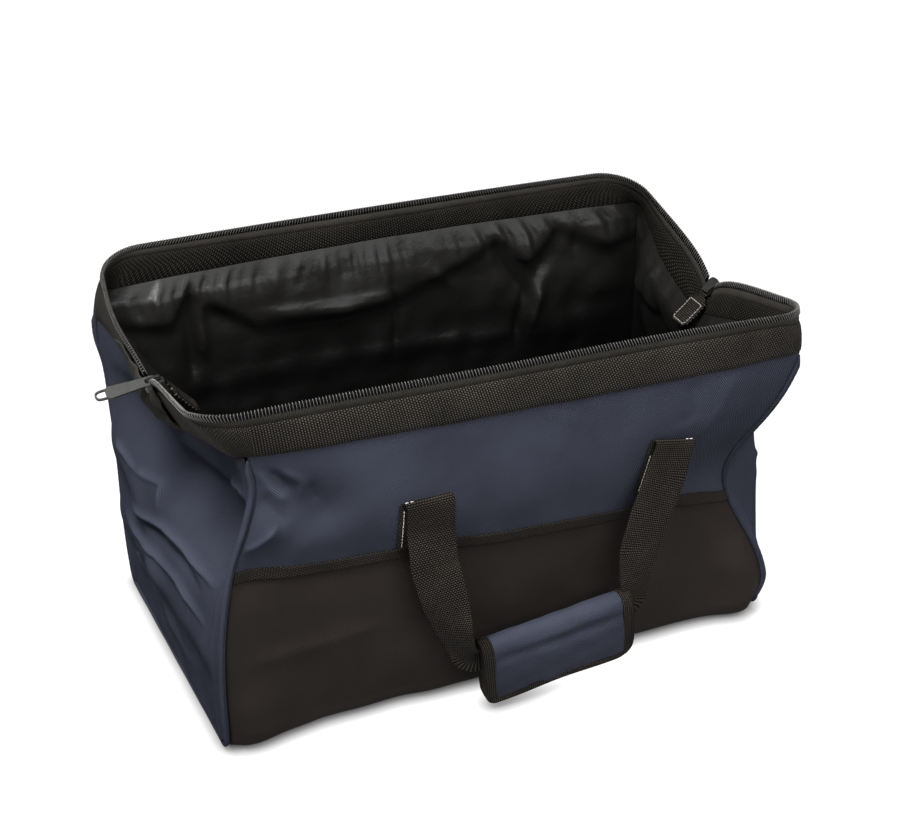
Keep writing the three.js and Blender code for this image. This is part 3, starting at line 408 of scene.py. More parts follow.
class Nodes:
    """A short way to make and link nodes; an input is named by its label or its place."""

    def __init__(self, owner):
        owner.use_nodes = True
        self.owner = owner
        self.tree = owner.node_tree

    def fill(self, node, inputs):
        for key, value in inputs.items():
            if isinstance(value, bpy.types.NodeSocket):
                self.tree.links.new(value, node.inputs[key])
            else:
                node.inputs[key].default_value = value

    def add(self, kind, inputs=(), **traits):
        """The outputs of a new node."""
        node = self.tree.nodes.new("ShaderNode" + kind)
        for name, value in traits.items():
            setattr(node, name, value)
        self.fill(node, dict(inputs))
        return node.outputs

    def math(self, operation, *values):
        return self.add("Math", enumerate(values), operation=operation)[0]

    def span(self, value, low, high, start=0.3, stop=0.7):
        ends = {"From Min": start, "From Max": stop, "To Min": low, "To Max": high}
        return self.add("MapRange", {"Value": value, **ends})[0]

    def axes(self, vector):
        return self.add("SeparateXYZ", {0: vector})

    def wave(self, value, pitch, shift=0.0):
        turned = self.math("ADD", self.math("MULTIPLY", value, TAU / (pitch * MM)), shift)
        return self.math("MULTIPLY_ADD", self.math("COSINE", turned), 0.5, 0.5)

    def noise(self, size, detail=2.0, roughness=0.5):
        place = self.add("TexCoord")["Object"]
        grain = {"Scale": 1 / (size * MM), "Detail": detail, "Roughness": roughness}
        return self.add("TexNoise", {"Vector": place, **grain})[0]

    def colours(self, value, dark, light):
        colour = self.add("ValToRGB", {0: value})[0]
        for element, end in zip(colour.node.color_ramp.elements, (dark, light)):
            element.color = (*end, 1)
        return colour

    def shade(self, colour, factor):
        inputs = {"Factor": 1.0, 6: colour, 7: factor}
        return self.add("Mix", inputs, data_type="RGBA", blend_type="MULTIPLY")[2]

    def bump(self, height, depth, strength=1.0, under=None):
        inputs = {"Strength": strength, "Distance": depth * MM, "Height": height}
        if under is not None:
            inputs["Normal"] = under
        return self.add("Bump", inputs)[0]

    def finish(self, colour, roughness, **others):
        inputs = {"Base Color": colour, "Roughness": roughness}
        inputs.update((name.replace("_", " "), value) for name, value in others.items())
        self.fill(self.tree.nodes["Principled BSDF"], inputs)
        return self.owner


# Camera, light and floor

def put_object(name, data):
    item = bpy.data.objects.new(name, data)
    scene.collection.objects.link(item)
    return item


def aim(item, place, target):
    """Put a camera or lamp at a place and turn it towards a target."""
    item.location = Vector(place) * MM
    item.rotation_euler = (Vector(target) * MM - item.location).to_track_quat("-Z", "Y").to_euler()


def set_stage():
    data = bpy.data.cameras.new("camera")
    data.lens = CAMERA_LENS
    data.sensor_width = SENSOR_WIDTH
    scene.camera = put_object("camera", data)
    aim(scene.camera, CAMERA_PLACE, CAMERA_AIM)

    sky = Nodes(bpy.data.worlds.new("studio"))
    up = sky.axes(sky.add("TexCoord")["Generated"])[2]
    level = sky.span(up, LIGHT_BELOW, LIGHT_ABOVE, -HORIZON, HORIZON)
    pale = sky.math("MAXIMUM", level, sky.add("LightPath")["Is Camera Ray"])
    sky.fill(sky.tree.nodes["Background"], {"Color": WHITE, "Strength": pale})
    scene.world = sky.owner

    for name, place, size, power in LAMPS:
        lamp = bpy.data.lights.new(name, "AREA")
        lamp.size = size * MM
        lamp.energy = power
        aim(put_object(name, lamp), place, LAMP_AIM)

    half = FLOOR_HALF * MM
    corners = [(-half, -half, 0), (half, -half, 0), (half, half, 0), (-half, half, 0)]
    mesh = bpy.data.meshes.new("floor")
    mesh.from_pydata(corners, [], [(0, 1, 2, 3)])
    paint = Nodes(bpy.data.materials.new("floor_paint"))
    # Painted contact shadow: the floor's glow dims where the bag stands near it
    painted_contact_shadow = paint.add("AmbientOcclusion", {"Distance": CONTACT_REACH * MM})["AO"]
    glow = paint.math("POWER", painted_contact_shadow, CONTACT_FALL)
    paint.finish(FLOOR_COLOUR, FLOOR_ROUGHNESS, Emission_Color=WHITE, Emission_Strength=glow)
    mesh.materials.append(paint.owner)
    floor = put_object("floor", mesh)
    floor.visible_diffuse = False
    scene.view_settings.view_transform = "Standard"


# Materials: pitches, grains and depths in millimetres

def twill_cloth(name, dark, light, pitch, depth, specular):
    """Fine diagonal weave with slight colour drift, and a painted highlight along crease crests read from
    each point's attribute.
    """
    nodes = Nodes(bpy.data.materials.new(name))
    u, v, _ = nodes.axes(nodes.add("UVMap", uv_map="weave")[0])
    twill = nodes.wave(nodes.math("ADD", u, v), pitch)
    cross = nodes.wave(nodes.math("SUBTRACT", u, v), pitch * 0.61)
    weave = nodes.math("MULTIPLY_ADD", twill, 0.65, nodes.math("MULTIPLY", cross, 0.35))
    painted_sheen = nodes.add("Attribute", attribute_name="painted_sheen")["Fac"]
    # Colour drift plus the painted highlight along crease crests
    drift = nodes.math("ADD", nodes.span(nodes.noise(70, 3), 0.86, 1.14), painted_sheen)
    colour = nodes.shade(nodes.colours(weave, dark, light), drift)
    normal = nodes.bump(weave, depth, 0.8, nodes.bump(nodes.noise(14, 3), 0.5, 0.25))
    roughness = nodes.span(nodes.noise(40), 0.62, 0.8)
    return nodes.finish(colour, roughness, Normal=normal, Specular_IOR_Level=specular)


def ribbed_webbing(name, dark, light, rib, bead, depth, roughness):
    """Ribs across the band, each a row of small beads, as in woven webbing."""
    nodes = Nodes(bpy.data.materials.new(name))
    u, v, _ = nodes.axes(nodes.add("UVMap", uv_map="weave")[0])
    step = nodes.math("MULTIPLY", nodes.math("FLOOR", nodes.math("MULTIPLY", u, 1 / (rib * MM))), math.pi)
    ribs = nodes.wave(u, rib, math.pi)
    beads = nodes.wave(v, bead, step)
    height = nodes.math("MULTIPLY", ribs, nodes.math("MULTIPLY_ADD", beads, 0.92, 0.08))
    drift = nodes.span(nodes.noise(30, 3), 0.8, 1.2)
    colour = nodes.shade(nodes.colours(height, dark, light), drift)
    normal = nodes.bump(height, depth, 1.0, nodes.bump(nodes.noise(9, 2), 0.3, 0.2))
    return nodes.finish(colour, roughness, Normal=normal, Specular_IOR_Level=0.04)


def coated_lining():
    """Thin coated nylon: glossy and crinkled, with painted shade that makes it darker towards the floor of
    the bag.
    """
    nodes = Nodes(bpy.data.materials.new("lining_nylon"))
    up = nodes.axes(nodes.add("TexCoord")["Object"])[2]
    # Painted shade: the colour darkens with depth in the bag
    depth = nodes.math("MULTIPLY_ADD", up, 14.0, -2.4)
    height = nodes.math("MULTIPLY_ADD", nodes.noise(60, 3), 0.25, depth)
    colour = nodes.colours(height, (0.0025, 0.0024, 0.0023), (0.0085, 0.0081, 0.0077))
    crinkle = nodes.bump(nodes.noise(22, 4, 0.6), 2.2, 0.5)
    normal = nodes.bump(nodes.noise(3, 2), 0.15, 0.3, crinkle)
    roughness = nodes.span(nodes.noise(35, 3), 0.3, 0.44)
    return nodes.finish(colour, roughness, Normal=normal, Specular_IOR_Level=0.2)


def plain_matter(name, dark, light, grain, low, high, depth, specular, metallic):
    """Plastic, thread or metal with a fine grain."""
    nodes = Nodes(bpy.data.materials.new(name))
    spots = nodes.noise(grain, 3)
    roughness = nodes.span(nodes.noise(grain * 3, 2), low, high)
    normal = nodes.bump(spots, depth, 0.4)
    colour = nodes.colours(spots, dark, light)
    return nodes.finish(colour, roughness, Normal=normal, Specular_IOR_Level=specular, Metallic=metallic)


NAVY = twill_cloth("navy_twill", (0.0125, 0.0142, 0.0212), (0.062, 0.0672, 0.0925), 1.7, 0.35, 0.0)
BASE_CLOTH = twill_cloth("base_twill", (0.0095, 0.0079, 0.0072), (0.0305, 0.025, 0.0227), 1.7, 0.2, 0.03)
WEBBING, BAND_WEAVE, BAND_SHADED_WEAVE, HEM_WEAVE, TAPE_WEAVE = (ribbed_webbing(*row) for row in [
    ("ribbed_webbing", (0.0015, 0.0013, 0.0011), (0.07, 0.061, 0.052), 1.8, 1.4, 0.8, 0.75),
    ("band_weave", (0.003, 0.0027, 0.0023), (0.09, 0.081, 0.069), 2.0, 2.4, 0.7, 0.75),
    # Darker copy of the band webbing for its inner faces: painted shade
    ("band_inner_painted_shade", (0.002, 0.0018, 0.0015), (0.034, 0.0307, 0.0262), 2.0, 2.4, 0.7, 0.75),
    ("hem_weave", (0.008, 0.0068, 0.006), (0.04, 0.0345, 0.03), 2.0, 2.2, 0.4, 0.8),
    ("tape_weave", (0.018, 0.0165, 0.0145), (0.062, 0.0565, 0.049), 1.5, 1.2, 0.3, 0.8),
])
LINING = coated_lining()
COIL, METAL, BLACK_THREAD, GREY_THREAD, WHITE_THREAD = (plain_matter(*row) for row in [
    ("coil_plastic", (0.075, 0.073, 0.068), (0.17, 0.166, 0.157), 2, 0.25, 0.4, 0.05, 0.6, 0.0),
    ("dark_metal", (0.026, 0.026, 0.026), (0.052, 0.052, 0.05), 3, 0.42, 0.55, 0.05, 0.5, 0.75),
    ("black_thread", (0.001, 0.001, 0.0009), (0.004, 0.0038, 0.0036), 1, 0.7, 0.85, 0.1, 0.05, 0.0),
    ("grey_thread", (0.16, 0.155, 0.145), (0.34, 0.335, 0.315), 1, 0.6, 0.75, 0.1, 0.5, 0.0),
    ("white_thread", (0.42, 0.41, 0.38), (0.7, 0.69, 0.65), 1, 0.6, 0.75, 0.1, 0.5, 0.0),
])


# Meshes

def put_mesh(name, points, faces, look, uv, painted_sheen=None):
    """A new piece from points in millimetres; the last argument holds the painted highlight, how much lighter
    the cloth is painted at each point.
    """
    mesh = bpy.data.meshes.new(name)
    mesh.from_pydata((np.reshape(points, (-1, 3)) * MM).tolist(), [], faces)
    index = np.zeros(len(mesh.loops), np.int32)
    mesh.loops.foreach_get("vertex_index", index)
    weave = mesh.uv_layers.new(name="weave")
    weave.data.foreach_set("uv", (uv[index] * MM).ravel().astype(np.float32))
    if painted_sheen is not None:
        layer = mesh.attributes.new("painted_sheen", "FLOAT", "POINT")
        layer.data.foreach_set("value", painted_sheen.astype(np.float32))
    mesh.polygons.foreach_set("use_smooth", np.ones(len(mesh.polygons), bool))
    mesh.materials.append(look)
    work = bmesh.new()
    work.from_mesh(mesh)
    bmesh.ops.recalc_face_normals(work, faces=work.faces)
    work.to_mesh(mesh)
    work.free()
    return put_object(name, mesh)


def dress(piece, slot, *nodes, body="bag"):
    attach(piece, body)
    if nodes:
        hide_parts(*nodes)
    return piece


def clamp(values):
    return np.clip(values, 0, 1)


def eased(share):
    share = clamp(share)
    return share * share * (3 - 2 * share)


def bell(distance, spread):
    return np.exp(-0.5 * (distance / spread) ** 2)


def lerp(a, b, share):
    return a + (b - a) * share


def unit(vectors):
    length = np.linalg.norm(vectors, axis=-1, keepdims=True)
    return vectors / np.maximum(length, 1e-9)


def square_to(vectors, axes):
    """What is left of vectors without their share along unit axes."""
    return vectors - axes * np.sum(vectors * axes, axis=1, keepdims=True)


def travel(points):
    """Distance along a row of points."""
    steps = np.linalg.norm(np.diff(points, axis=0), axis=1)
    return np.concatenate([[0.0], np.cumsum(steps)])


def sampled(where, at, rows):
    """Rows of three values, read at places along their line."""
    return np.stack([np.interp(where, at, column) for column in rows.T], -1)


def even_places(length, pitch):
    """Middles of equal steps, near to a pitch, along a length."""
    count = max(2, int(length // pitch))
    return (np.arange(count) + 0.5) * length / count


def grid_faces(rows, columns, start=0, wrap=False):
    """Quads of a grid whose points are in rows; with wrap, each row is a ring."""
    last = columns if wrap else columns - 1
    r, c = np.meshgrid(np.arange(rows - 1), np.arange(last), indexing="ij")
    near = start + r * columns
    far = near + columns
    d = (c + 1) % columns
    return np.stack([near + c, far + c, far + d, near + d], -1).reshape(-1, 4).tolist()


def closed_faces(rows, columns):
    """Quads between rings, and a face on each end."""
    first, last = (list(range(start, start + columns)) for start in (0, (rows - 1) * columns))
    return grid_faces(rows, columns, wrap=True) + [first, last[::-1]]


def cloth(name, surface, us, vs, thickness, look, lift=0.0, sheen_paint_at=None):
    """A sheet of even thickness on a surface, with a woven texture in millimetres."""
    u, v = np.meshgrid(us, vs, indexing="ij")
    middle = surface(u, v)
    normal = unit(np.cross(np.gradient(middle, axis=0), np.gradient(middle, axis=1)))
    outer = middle + normal * (lift + thickness / 2)
    inner = middle + normal * (lift - thickness / 2)
    rows, columns = u.shape
    count = rows * columns
    faces = grid_faces(rows, columns)
    faces += [face[::-1] for face in grid_faces(rows, columns, count)]
    grid = np.arange(count).reshape(rows, columns)
    border = np.concatenate([grid[:, 0], grid[-1, 1:], grid[-2::-1, -1], grid[0, -2:0:-1]])
    ahead = np.roll(border, -1)
    faces += np.stack([border, border + count, ahead + count, ahead], -1).tolist()
    along, up = travel(middle[:, columns // 2]), travel(middle[rows // 2])
    uv = np.stack(np.meshgrid(along, up, indexing="ij"), -1).reshape(-1, 2)
    # The painted highlight at each point, on both skins
    painted_sheen = np.tile(sheen_paint_at(u, v).ravel(), 2) if sheen_paint_at else None
    return put_mesh(name, [outer, inner], faces, look, np.concatenate([uv, uv]), painted_sheen)


def loft(name, sections, look, along=None):
    """A closed body through rings of points."""
    rows, columns = sections.shape[:2]
    if along is None:
        along = travel(sections.mean(axis=1))
    around = travel(sections[rows // 2])
    uv = np.stack(np.meshgrid(along, around, indexing="ij"), -1).reshape(-1, 2)
    return put_mesh(name, sections, closed_faces(rows, columns), look, uv)


def scatter(name, points, faces, places, axes, look):
    """Many copies of one small shape: axes holds three rows for each place."""
    copies = places[:, None, :] + np.einsum("pk,nkj->npj", points, axes)
    count = len(points)
    every = [[k + n * count for k in face] for n in range(len(places)) for face in faces]
    return put_mesh(name, copies, every, look, np.zeros((len(places) * count, 2)))


def rings_along(path, radius, side, other, count):
    """Round rings on a path, between two ways square to it."""
    turn = (np.arange(count) * TAU / count)[None, :, None]
    return path[:, None] + radius * (np.cos(turn) * side + np.sin(turn) * other)


def tube_shape(path, radius, count):
    """Points and faces of a short bent wire in a plane: x along the zip, y out, z up."""
    side = np.array([1.0, 0.0, 0.0])
    other = np.cross(unit(np.gradient(path, axis=0)), side)
    rings = rings_along(path, radius, side, other[:, None], count)
    return rings.reshape(-1, 3), closed_faces(len(path), count)


def stitch_row(name, path, normal, size, look):
    """Stitches along a path that lies on a surface with the given normals."""
    length, pitch, radius = size
    at = travel(path)
    where = even_places(at[-1], pitch)
    tangent = unit(sampled(where, at, np.gradient(path, axis=0)))
    up = unit(square_to(sampled(where, at, np.broadcast_to(normal, path.shape)), tangent))
    axes = np.stack([np.cross(up, tangent), up, tangent], axis=1)
    bow = np.linspace(-1, 1, 7)
    spine = np.stack([0 * bow, 0.55 * radius - 1.2 * radius * bow ** 4, bow * length / 2], -1)
    return scatter(name, *tube_shape(spine, radius, STITCH_SIDES), sampled(where, at, path), axes, look)


def joined(name, pieces):
    """One piece from several meshes with the same material."""
    first = pieces[0]
    with bpy.context.temp_override(active_object=first, object=first, selected_editable_objects=pieces,
                                   selected_objects=pieces):
        bpy.ops.object.join()
    first.name = name
    first.data.name = name
    return first


def stitches(name, lines, look):
    """Rows of stitches in one piece: each line has its path, normals and stitch size."""
    return joined(name, [stitch_row(f"{name}_{k}", *line, look) for k, line in enumerate(lines)])


# Walls

def corner_plan(name, t):
    """A sewn corner in plan at a share of its height, on a cubic through the rows."""
    rows = np.array(CORNERS[name], float).T
    t = clamp(t)
    last = len(CORNER_AT) - 1
    k = np.clip(np.searchsorted(CORNER_AT, t, side="right") - 1, 0, last - 1)
    before = np.where(k > 0, k - 1, k + 1)
    after = np.where(k < last - 1, k + 2, k)
    start, end = CORNER_AT[k], CORNER_AT[k + 1]
    half = (end - start) / 2
    early = half / (start - CORNER_AT[before])
    late = half / (CORNER_AT[after] - end)
    p = (t - start) / (end - start)
    shares = [
        (before, -early * p ** 3 + 2 * early * p ** 2 - early * p),
        (k, (1 + early) * p ** 3 + (-1.5 - 2 * early) * p ** 2 + (early - 0.5) * p + 1),
        (k + 1, (-1 - late) * p ** 3 + (1.5 + late) * p ** 2 + 0.5 * p),
        (after, late * p ** 3 - late * p ** 2),
    ]
    return sum(rows[index] * share[..., None] for index, share in shares)


def wall_top(name, s):
    first, last = WALLS[name]["ends"]
    top = lerp(CORNER_TOP[first], CORNER_TOP[last], s)
    if name not in END_TOP:
        return top
    return lerp(END_TOP[name], top, np.minimum(np.abs(2 * s - 1), 1) ** END_CURVE)


def wall_span(name):
    return BASE_WIDTH if name in END_TOP else BASE_LENGTH


def from_seam(name, s):
    return np.minimum(s, 1 - s) * wall_span(name)


def fold_rise(folds, name, s, t, crisp=False):
    """Rise of all folds of a wall at a place on it."""
    size = np.array([wall_span(name), WALL_HEIGHT])
    here = np.stack([s, t], -1) * size
    total = np.zeros(np.shape(s))
    for line, width, rise in folds.get(name, ()):
        points = np.array(line) * size
        along = travel(points)
        best = np.full(np.shape(s), np.inf)
        spot = np.zeros(np.shape(s))
        for a, b, start in zip(points[:-1], points[1:], along):
            share = clamp((here - a) @ (b - a) / ((b - a) @ (b - a)))
            away = np.linalg.norm(here - a - share[..., None] * (b - a), axis=-1)
            spot = np.where(away < best, start + share * np.linalg.norm(b - a), spot)
            best = np.minimum(away, best)
        if crisp:
            ends = clamp(4 * np.minimum(spot, along[-1] - spot) / along[-1] + 0.25)
            total += rise * ends / (1 + (best / width) ** 2) ** 1.5
        else:
            total += rise * bell(best, width)
    return total * clamp(from_seam(name, s) / SEAM_FADE)


def ripple(kind, u, v, wall=0):
    """Soft unevenness of a cloth."""
    rise, seed, shortest, longest, waves = RIPPLES[kind]
    draw = np.random.default_rng(seed + wall)
    total = np.zeros(np.shape(u))
    for _ in range(waves):
        turn, length, phase = draw.uniform(0, TAU), draw.uniform(shortest, longest), draw.uniform(0, TAU)
        total += np.sin((u * math.cos(turn) + v * math.sin(turn)) * TAU / length + phase)
    return rise * (total / math.sqrt(waves))


def wall_point(name, s, t, fine=True):
    """The middle of the cloth on a wall: s runs along it, t from the floor to the rim."""
    s, t = np.broadcast_arrays(np.asarray(s, float), np.asarray(t, float))
    wall = WALLS[name]
    start, end = (corner_plan(corner, t) for corner in wall["ends"])
    length = np.linalg.norm(end - start, axis=-1)
    plan = start + (end - start) * s[..., None]
    push = wall["swell"] * bell(t - wall["at"], wall["spread"]) * (1 - (2 * s - 1) ** 4)
    low = clamp(t * FOOT_FADE)
    push += fold_rise(FOLDS, name, s, t) * low
    if fine:
        seam = from_seam(name, s)
        uneven = ripple("wall", s * wall_span(name), t * WALL_HEIGHT, RING.index(name))
        push += fold_rise(CREASES, name, s, t, crisp=True) * low
        push += uneven * clamp(seam / SEAM_FADE) * low
        push -= SEAM_GROOVE["depth"] * np.exp(-seam / SEAM_GROOVE["width"])
        if name in END_TOP:
            push += SEAM_RIDGE["rise"] * bell(seam - SEAM_RIDGE["at"], SEAM_RIDGE["width"])
    push -= wall["lean"] * 4 * s * (1 - s) * t ** 4
    plan = plan + push[..., None] * np.array(wall["out"], float)
    reach = bell(t - DENT["at"], DENT["spread"])
    tuck = CORNER_TUCK * clamp(1.5 - 10 * t) ** 2
    if name == "front":
        plan[..., 0] -= tuck * s ** 6
        plan[..., 0] += DENT["x"] * reach * s
        plan[..., 1] += DENT["y"] * reach * bell((1 - s) * length, DENT["along_front"])
    if name == "right":
        plan[..., 0] -= tuck * (1 - s) ** 6
        reach = reach * bell(s * length, DENT["along_end"])
        plan[..., 0] += DENT["x"] * reach
        plan[..., 1] += DENT["y"] * reach
    return np.concatenate([plan, (t * wall_top(name, s))[..., None]], axis=-1)


def crest_sheen_paint(name, s, t):
    """Painted highlight: how much lighter the cloth is painted along the crests of its higher creases."""
    crests = [(line, CREST_WIDTH, rise / CREST_RISE) for line, _, rise in CREASES[name] if rise > CREST_FROM]
    return CREST_LIGHT * clamp(fold_rise({name: crests}, name, s, t, crisp=True))


def wall_length(name, t):
    return float(np.linalg.norm(wall_point(name, 0.0, t) - wall_point(name, 1.0, t)))


def inset_share(name, u, t, inset=PANEL_INSET):
    share = inset / wall_length(name, t)
    return lerp(share, 1 - share, u)


def seam_share(name, s):
    """Share of the wall's height at which the base cloth ends."""
    start, end, bow = SEAM[name]
    return (lerp(start, end, s) + bow * SEAM_BOW * s * s * (1 - s)) / wall_top(name, s)


def make_panel(node, spot, columns, rows):
    """A panel of navy cloth; spot gives its wall and the place on it."""
    # The crests of the panel's creases get a painted highlight
    panel = cloth(f"{node}_cloth", lambda u, v: wall_point(*spot(u, v)), np.linspace(0, 1, columns),
                  np.linspace(0, 1, rows), PANEL_THICKNESS, NAVY, sheen_paint_at=lambda u, v: crest_sheen_paint(*spot(u, v)))
    dress(panel, "navy_cloth", node)


def make_upper_panels():
    for name in HALVES:
        def spot(u, v):
            s = inset_share(name, u, 0.8)
            return name, s, lerp(seam_share(name, s) - PANEL_LAP, PANEL_TOP, v)
        make_panel(f"{name}_panel", spot, *PANEL_GRID[name])


def base_half(name, s, drop):
    """Down a wall for drop below 1, round the bottom edge from 1 to 2."""
    low = ROUND_TOP / wall_top(name, s)
    wall = wall_point(name, s, lerp(seam_share(name, s) - 0.002, low, clamp(drop)))
    turn = clamp(drop - 1) * math.pi / 2
    inward = -WALLS[name]["out"][1]
    wall[..., 1] += inward * BOTTOM_ROUND * (1 - np.cos(turn))
    rounded = PANEL_THICKNESS / 2 + BOTTOM_ROUND * (1 - np.sin(turn))
    wall[..., 2] = np.where(drop > 1, rounded, wall[..., 2])
    return wall


def base_surface(u, v):
    """v from 0 to 2 goes down the front and round, from 2 to 3 under the bag, from 3 to 5 up the back."""
    s = inset_share("front", u, 0.5)
    front = base_half("front", s, np.clip(v, 0, 2))
    back = base_half("back", 1 - s, np.clip(5 - v, 0, 2))
    return lerp(front, back, clamp(v - 2)[..., None])


def make_base():
    stretches = [(0, 1, 58), (1, 2, 9), (2, 3, 12), (3, 4, 9), (4, 5, 50)]
    rows = np.unique(np.concatenate([np.linspace(*stretch) for stretch in stretches]))
    base = cloth("base_wrap_cloth", base_surface, np.linspace(0, 1, 190), rows, PANEL_THICKNESS, BASE_CLOTH)
    dress(base, "base_cloth", "base_wrap")


def end_foot(name, s):
    """Height of an end panel's lower edge, which follows the piping."""
    edge = np.minimum(s, 1 - s) * wall_length(name, 0.0)
    inside = clamp(1 - (edge - PANEL_INSET) / (BOTTOM_ROUND - PANEL_INSET))
    return END_FOOT + (ROUND_TOP - END_FOOT) * (1 - np.sqrt(1 - inside ** 2))


def make_end_panels():
    for name in END_TOP:
        def spot(u, v):
            s = inset_share(name, u - EDGE_CROWD * np.sin(TAU * u), 0.4)
            return name, s, lerp(end_foot(name, s) / wall_top(name, s), 1.0, v)
        make_panel(f"end_panel_{name}", spot, *PANEL_GRID[name])


def piping_path(name):
    """Down one edge of an end wall, along the floor and up the other edge."""
    low = [ROUND_TOP / wall_top(name, float(s)) for s in (0, 1)]
    rise = ROUND_TOP - PIPING_RADIUS - GAP
    down = wall_point(name, 0.0, np.linspace(PIPING_TOP, low[0], 90), fine=False)
    up = wall_point(name, 1.0, np.linspace(low[1], PIPING_TOP, 90), fine=False)
    turn = np.linspace(0, math.pi / 2, 10)[1:]
    inward = np.sign(up[0, 1] - down[-1, 1])
    bends = []
    for corner, way in ((down[-1], inward), (up[0], -inward)):
        bend = np.repeat(corner[None], len(turn), axis=0)
        bend[:, 1] += way * BOTTOM_ROUND * (1 - np.cos(turn))
        bend[:, 2] -= rise * np.sin(turn)
        bends.append(bend)
    flat = lerp(bends[0][-1], bends[1][-1], np.linspace(0, 1, 40)[1:-1, None])
    return np.concatenate([down, bends[0], flat, bends[1][::-1], up])


def make_piping():
    for name in END_TOP:
        path = piping_path(name)
        tangent = unit(np.gradient(path, axis=0))
        out = np.array([*WALLS[name]["out"], 0.0])
        across = unit(np.cross(tangent, out))
        up = np.cross(across, tangent)
        at = travel(path)
        whole = clamp(np.minimum(at, at[-1] - at) / PIPING_TAPER)
        upright = clamp(path[:, 2] / 20 - 0.6)
        radius = lerp(PIPING_RADIUS, PIPING_FULL, upright) * lerp(PIPING_TIP, 1.0, whole)
        radius = radius * (1 + PIPING_RIB * np.sin(at * TAU / PIPING_PITCH))
        path = path - np.outer((1 - whole) * PIPING_RADIUS, out)
        rings = rings_along(path, radius[:, None, None], across[:, None], up[:, None], PIPING_SIDES)
        dress(loft(f"piping_{name}_cord", rings, NAVY), "navy_cloth", f"piping_{name}")


def make_hems():
    for name in HALVES:
        def surface(u, v):
            s = inset_share(name, u, 0.5)
            return wall_point(name, s, seam_share(name, s) + (v - 1) * HEM_HEIGHT / wall_top(name, s))
        hem = cloth(f"{name}_hem_weave", surface, np.linspace(0, 1, 220), np.linspace(0, 1, 7), HEM_THICKNESS,
                    HEM_WEAVE, HEM_LIFT)
        dress(hem, "webbing", f"{name}_hem_tape")


# Rim

def rim_top(half, x, away):
    """A point of a half rim's upper edge, away from the line between the hinges."""
    row = HALVES[half]
    sag = row["sag"] * bell(x - SAG["x"], SAG["spread"])
    top = row["top"] - row["droop"] * (x - row["droop_from"]) ** 2 - sag
    hinge = HINGES["left" if x < 0 else "right"][1]
    share = min(away / row["half_width"], 1)
    fall = HINGE_FALL["even"] * (1 - share) + HINGE_FALL["steep"] * math.exp(-share / HINGE_FALL["reach"])
    return np.array([x, row["face"] * away, lerp(hinge, top, 1 - fall)])


def rim_end(half, end, start, leg_steps, arc_steps):
    """Stations of one end of a half rim, from the hinge to the long run: ring place, lower and upper."""
    side = ZIP_ENDS[end]["side"]
    corner_x, bow = RIM_CORNERS[half][end]
    to_high = (end == "left") == (half == "front")
    sign = 1 if to_high else -1
    leg = HALVES[half]["half_width"] - RIM_RADIUS
    lower_end = BASE_WIDTH / 2 - COLLAR_CORNER
    stations = []
    for k in range(leg_steps + 1):
        share = (k / leg_steps) ** 1.3
        away = lerp(start, leg, share)
        x = lerp(HINGES[end][0], corner_x, away / leg) + side * bow * math.sin(math.pi * away / leg)
        s = 0.5 + sign * lerp(start, lower_end, share) / BASE_WIDTH
        stations.append((RING.index(end) + s, wall_point(end, s, 1.0), rim_top(half, x, away)))
    inset = COLLAR_CORNER / wall_length(half, 1.0)
    run_share = inset if to_high else 1 - inset
    leg_place, first, _ = stations[-1]
    middle = wall_point(half, 0.0 if to_high else 1.0, 1.0)
    last = wall_point(half, run_share, 1.0)
    run_place = RING.index(half) + run_share + (4 if to_high and half == "front" else 0)
    for k in range(1, arc_steps + 1):
        share = k / arc_steps
        turn = share * math.pi / 2
        x = corner_x - side * RIM_RADIUS * (1 - math.cos(turn))
        lower = lerp(lerp(first, middle, share), lerp(middle, last, share), share)
        upper = rim_top(half, x, leg + RIM_RADIUS * math.sin(turn))
        stations.append((lerp(leg_place, run_place, share), lower, upper))
    return stations


def rim_stations(half, start, leg_steps=44, arc_steps=22, run_steps=150):
    """Arrays of a half rim from the left hinge to the right: ring place, lower, upper, out, up and height."""
    row = HALVES[half]
    left = rim_end(half, "left", start, leg_steps, arc_steps)
    right = rim_end(half, "right", start, leg_steps, arc_steps)[::-1]
    lap = 4 if half == "front" else 0
    inset = COLLAR_CORNER / wall_length(half, 1.0)
    run = []
    for k in range(1, run_steps):
        share = k / run_steps
        x = lerp(left[-1][2][0], right[0][2][0], share)
        s = lerp(inset, 1 - inset, share if half == "front" else 1 - share)
        upper = rim_top(half, x, row["half_width"])
        run.append((RING.index(half) + s + lap, wall_point(half, s, 1.0), upper))
    right = [(place + lap, lower, upper) for place, lower, upper in right]
    place, lower, upper = (np.array(column) for column in zip(*left, *run, *right))
    way = np.gradient(upper, axis=0)
    out = unit(np.stack([way[:, 1], -way[:, 0], 0 * way[:, 0]], -1)) * -row["face"]
    return {
        "place": place, "lower": lower, "upper": upper, "out": out,
        "up": unit(upper - lower), "height": np.linalg.norm(upper - lower, axis=1),
    }


def collar(stations, rows):
    """Rings on all stations from rows of height above the lower edge and distance out."""
    heights = np.stack([height + 0 * stations["height"] for height, _ in rows], 1)
    outs = np.array([out for _, out in rows])
    return (stations["lower"][:, None] + heights[..., None] * stations["up"][:, None]
            + outs[None, :, None] * stations["out"][:, None])


def mirrored(rows):
    """Rows of one side of a profile, then the same rows in turn on its other side."""
    return rows + [(height, -out) for height, out in rows[::-1]]


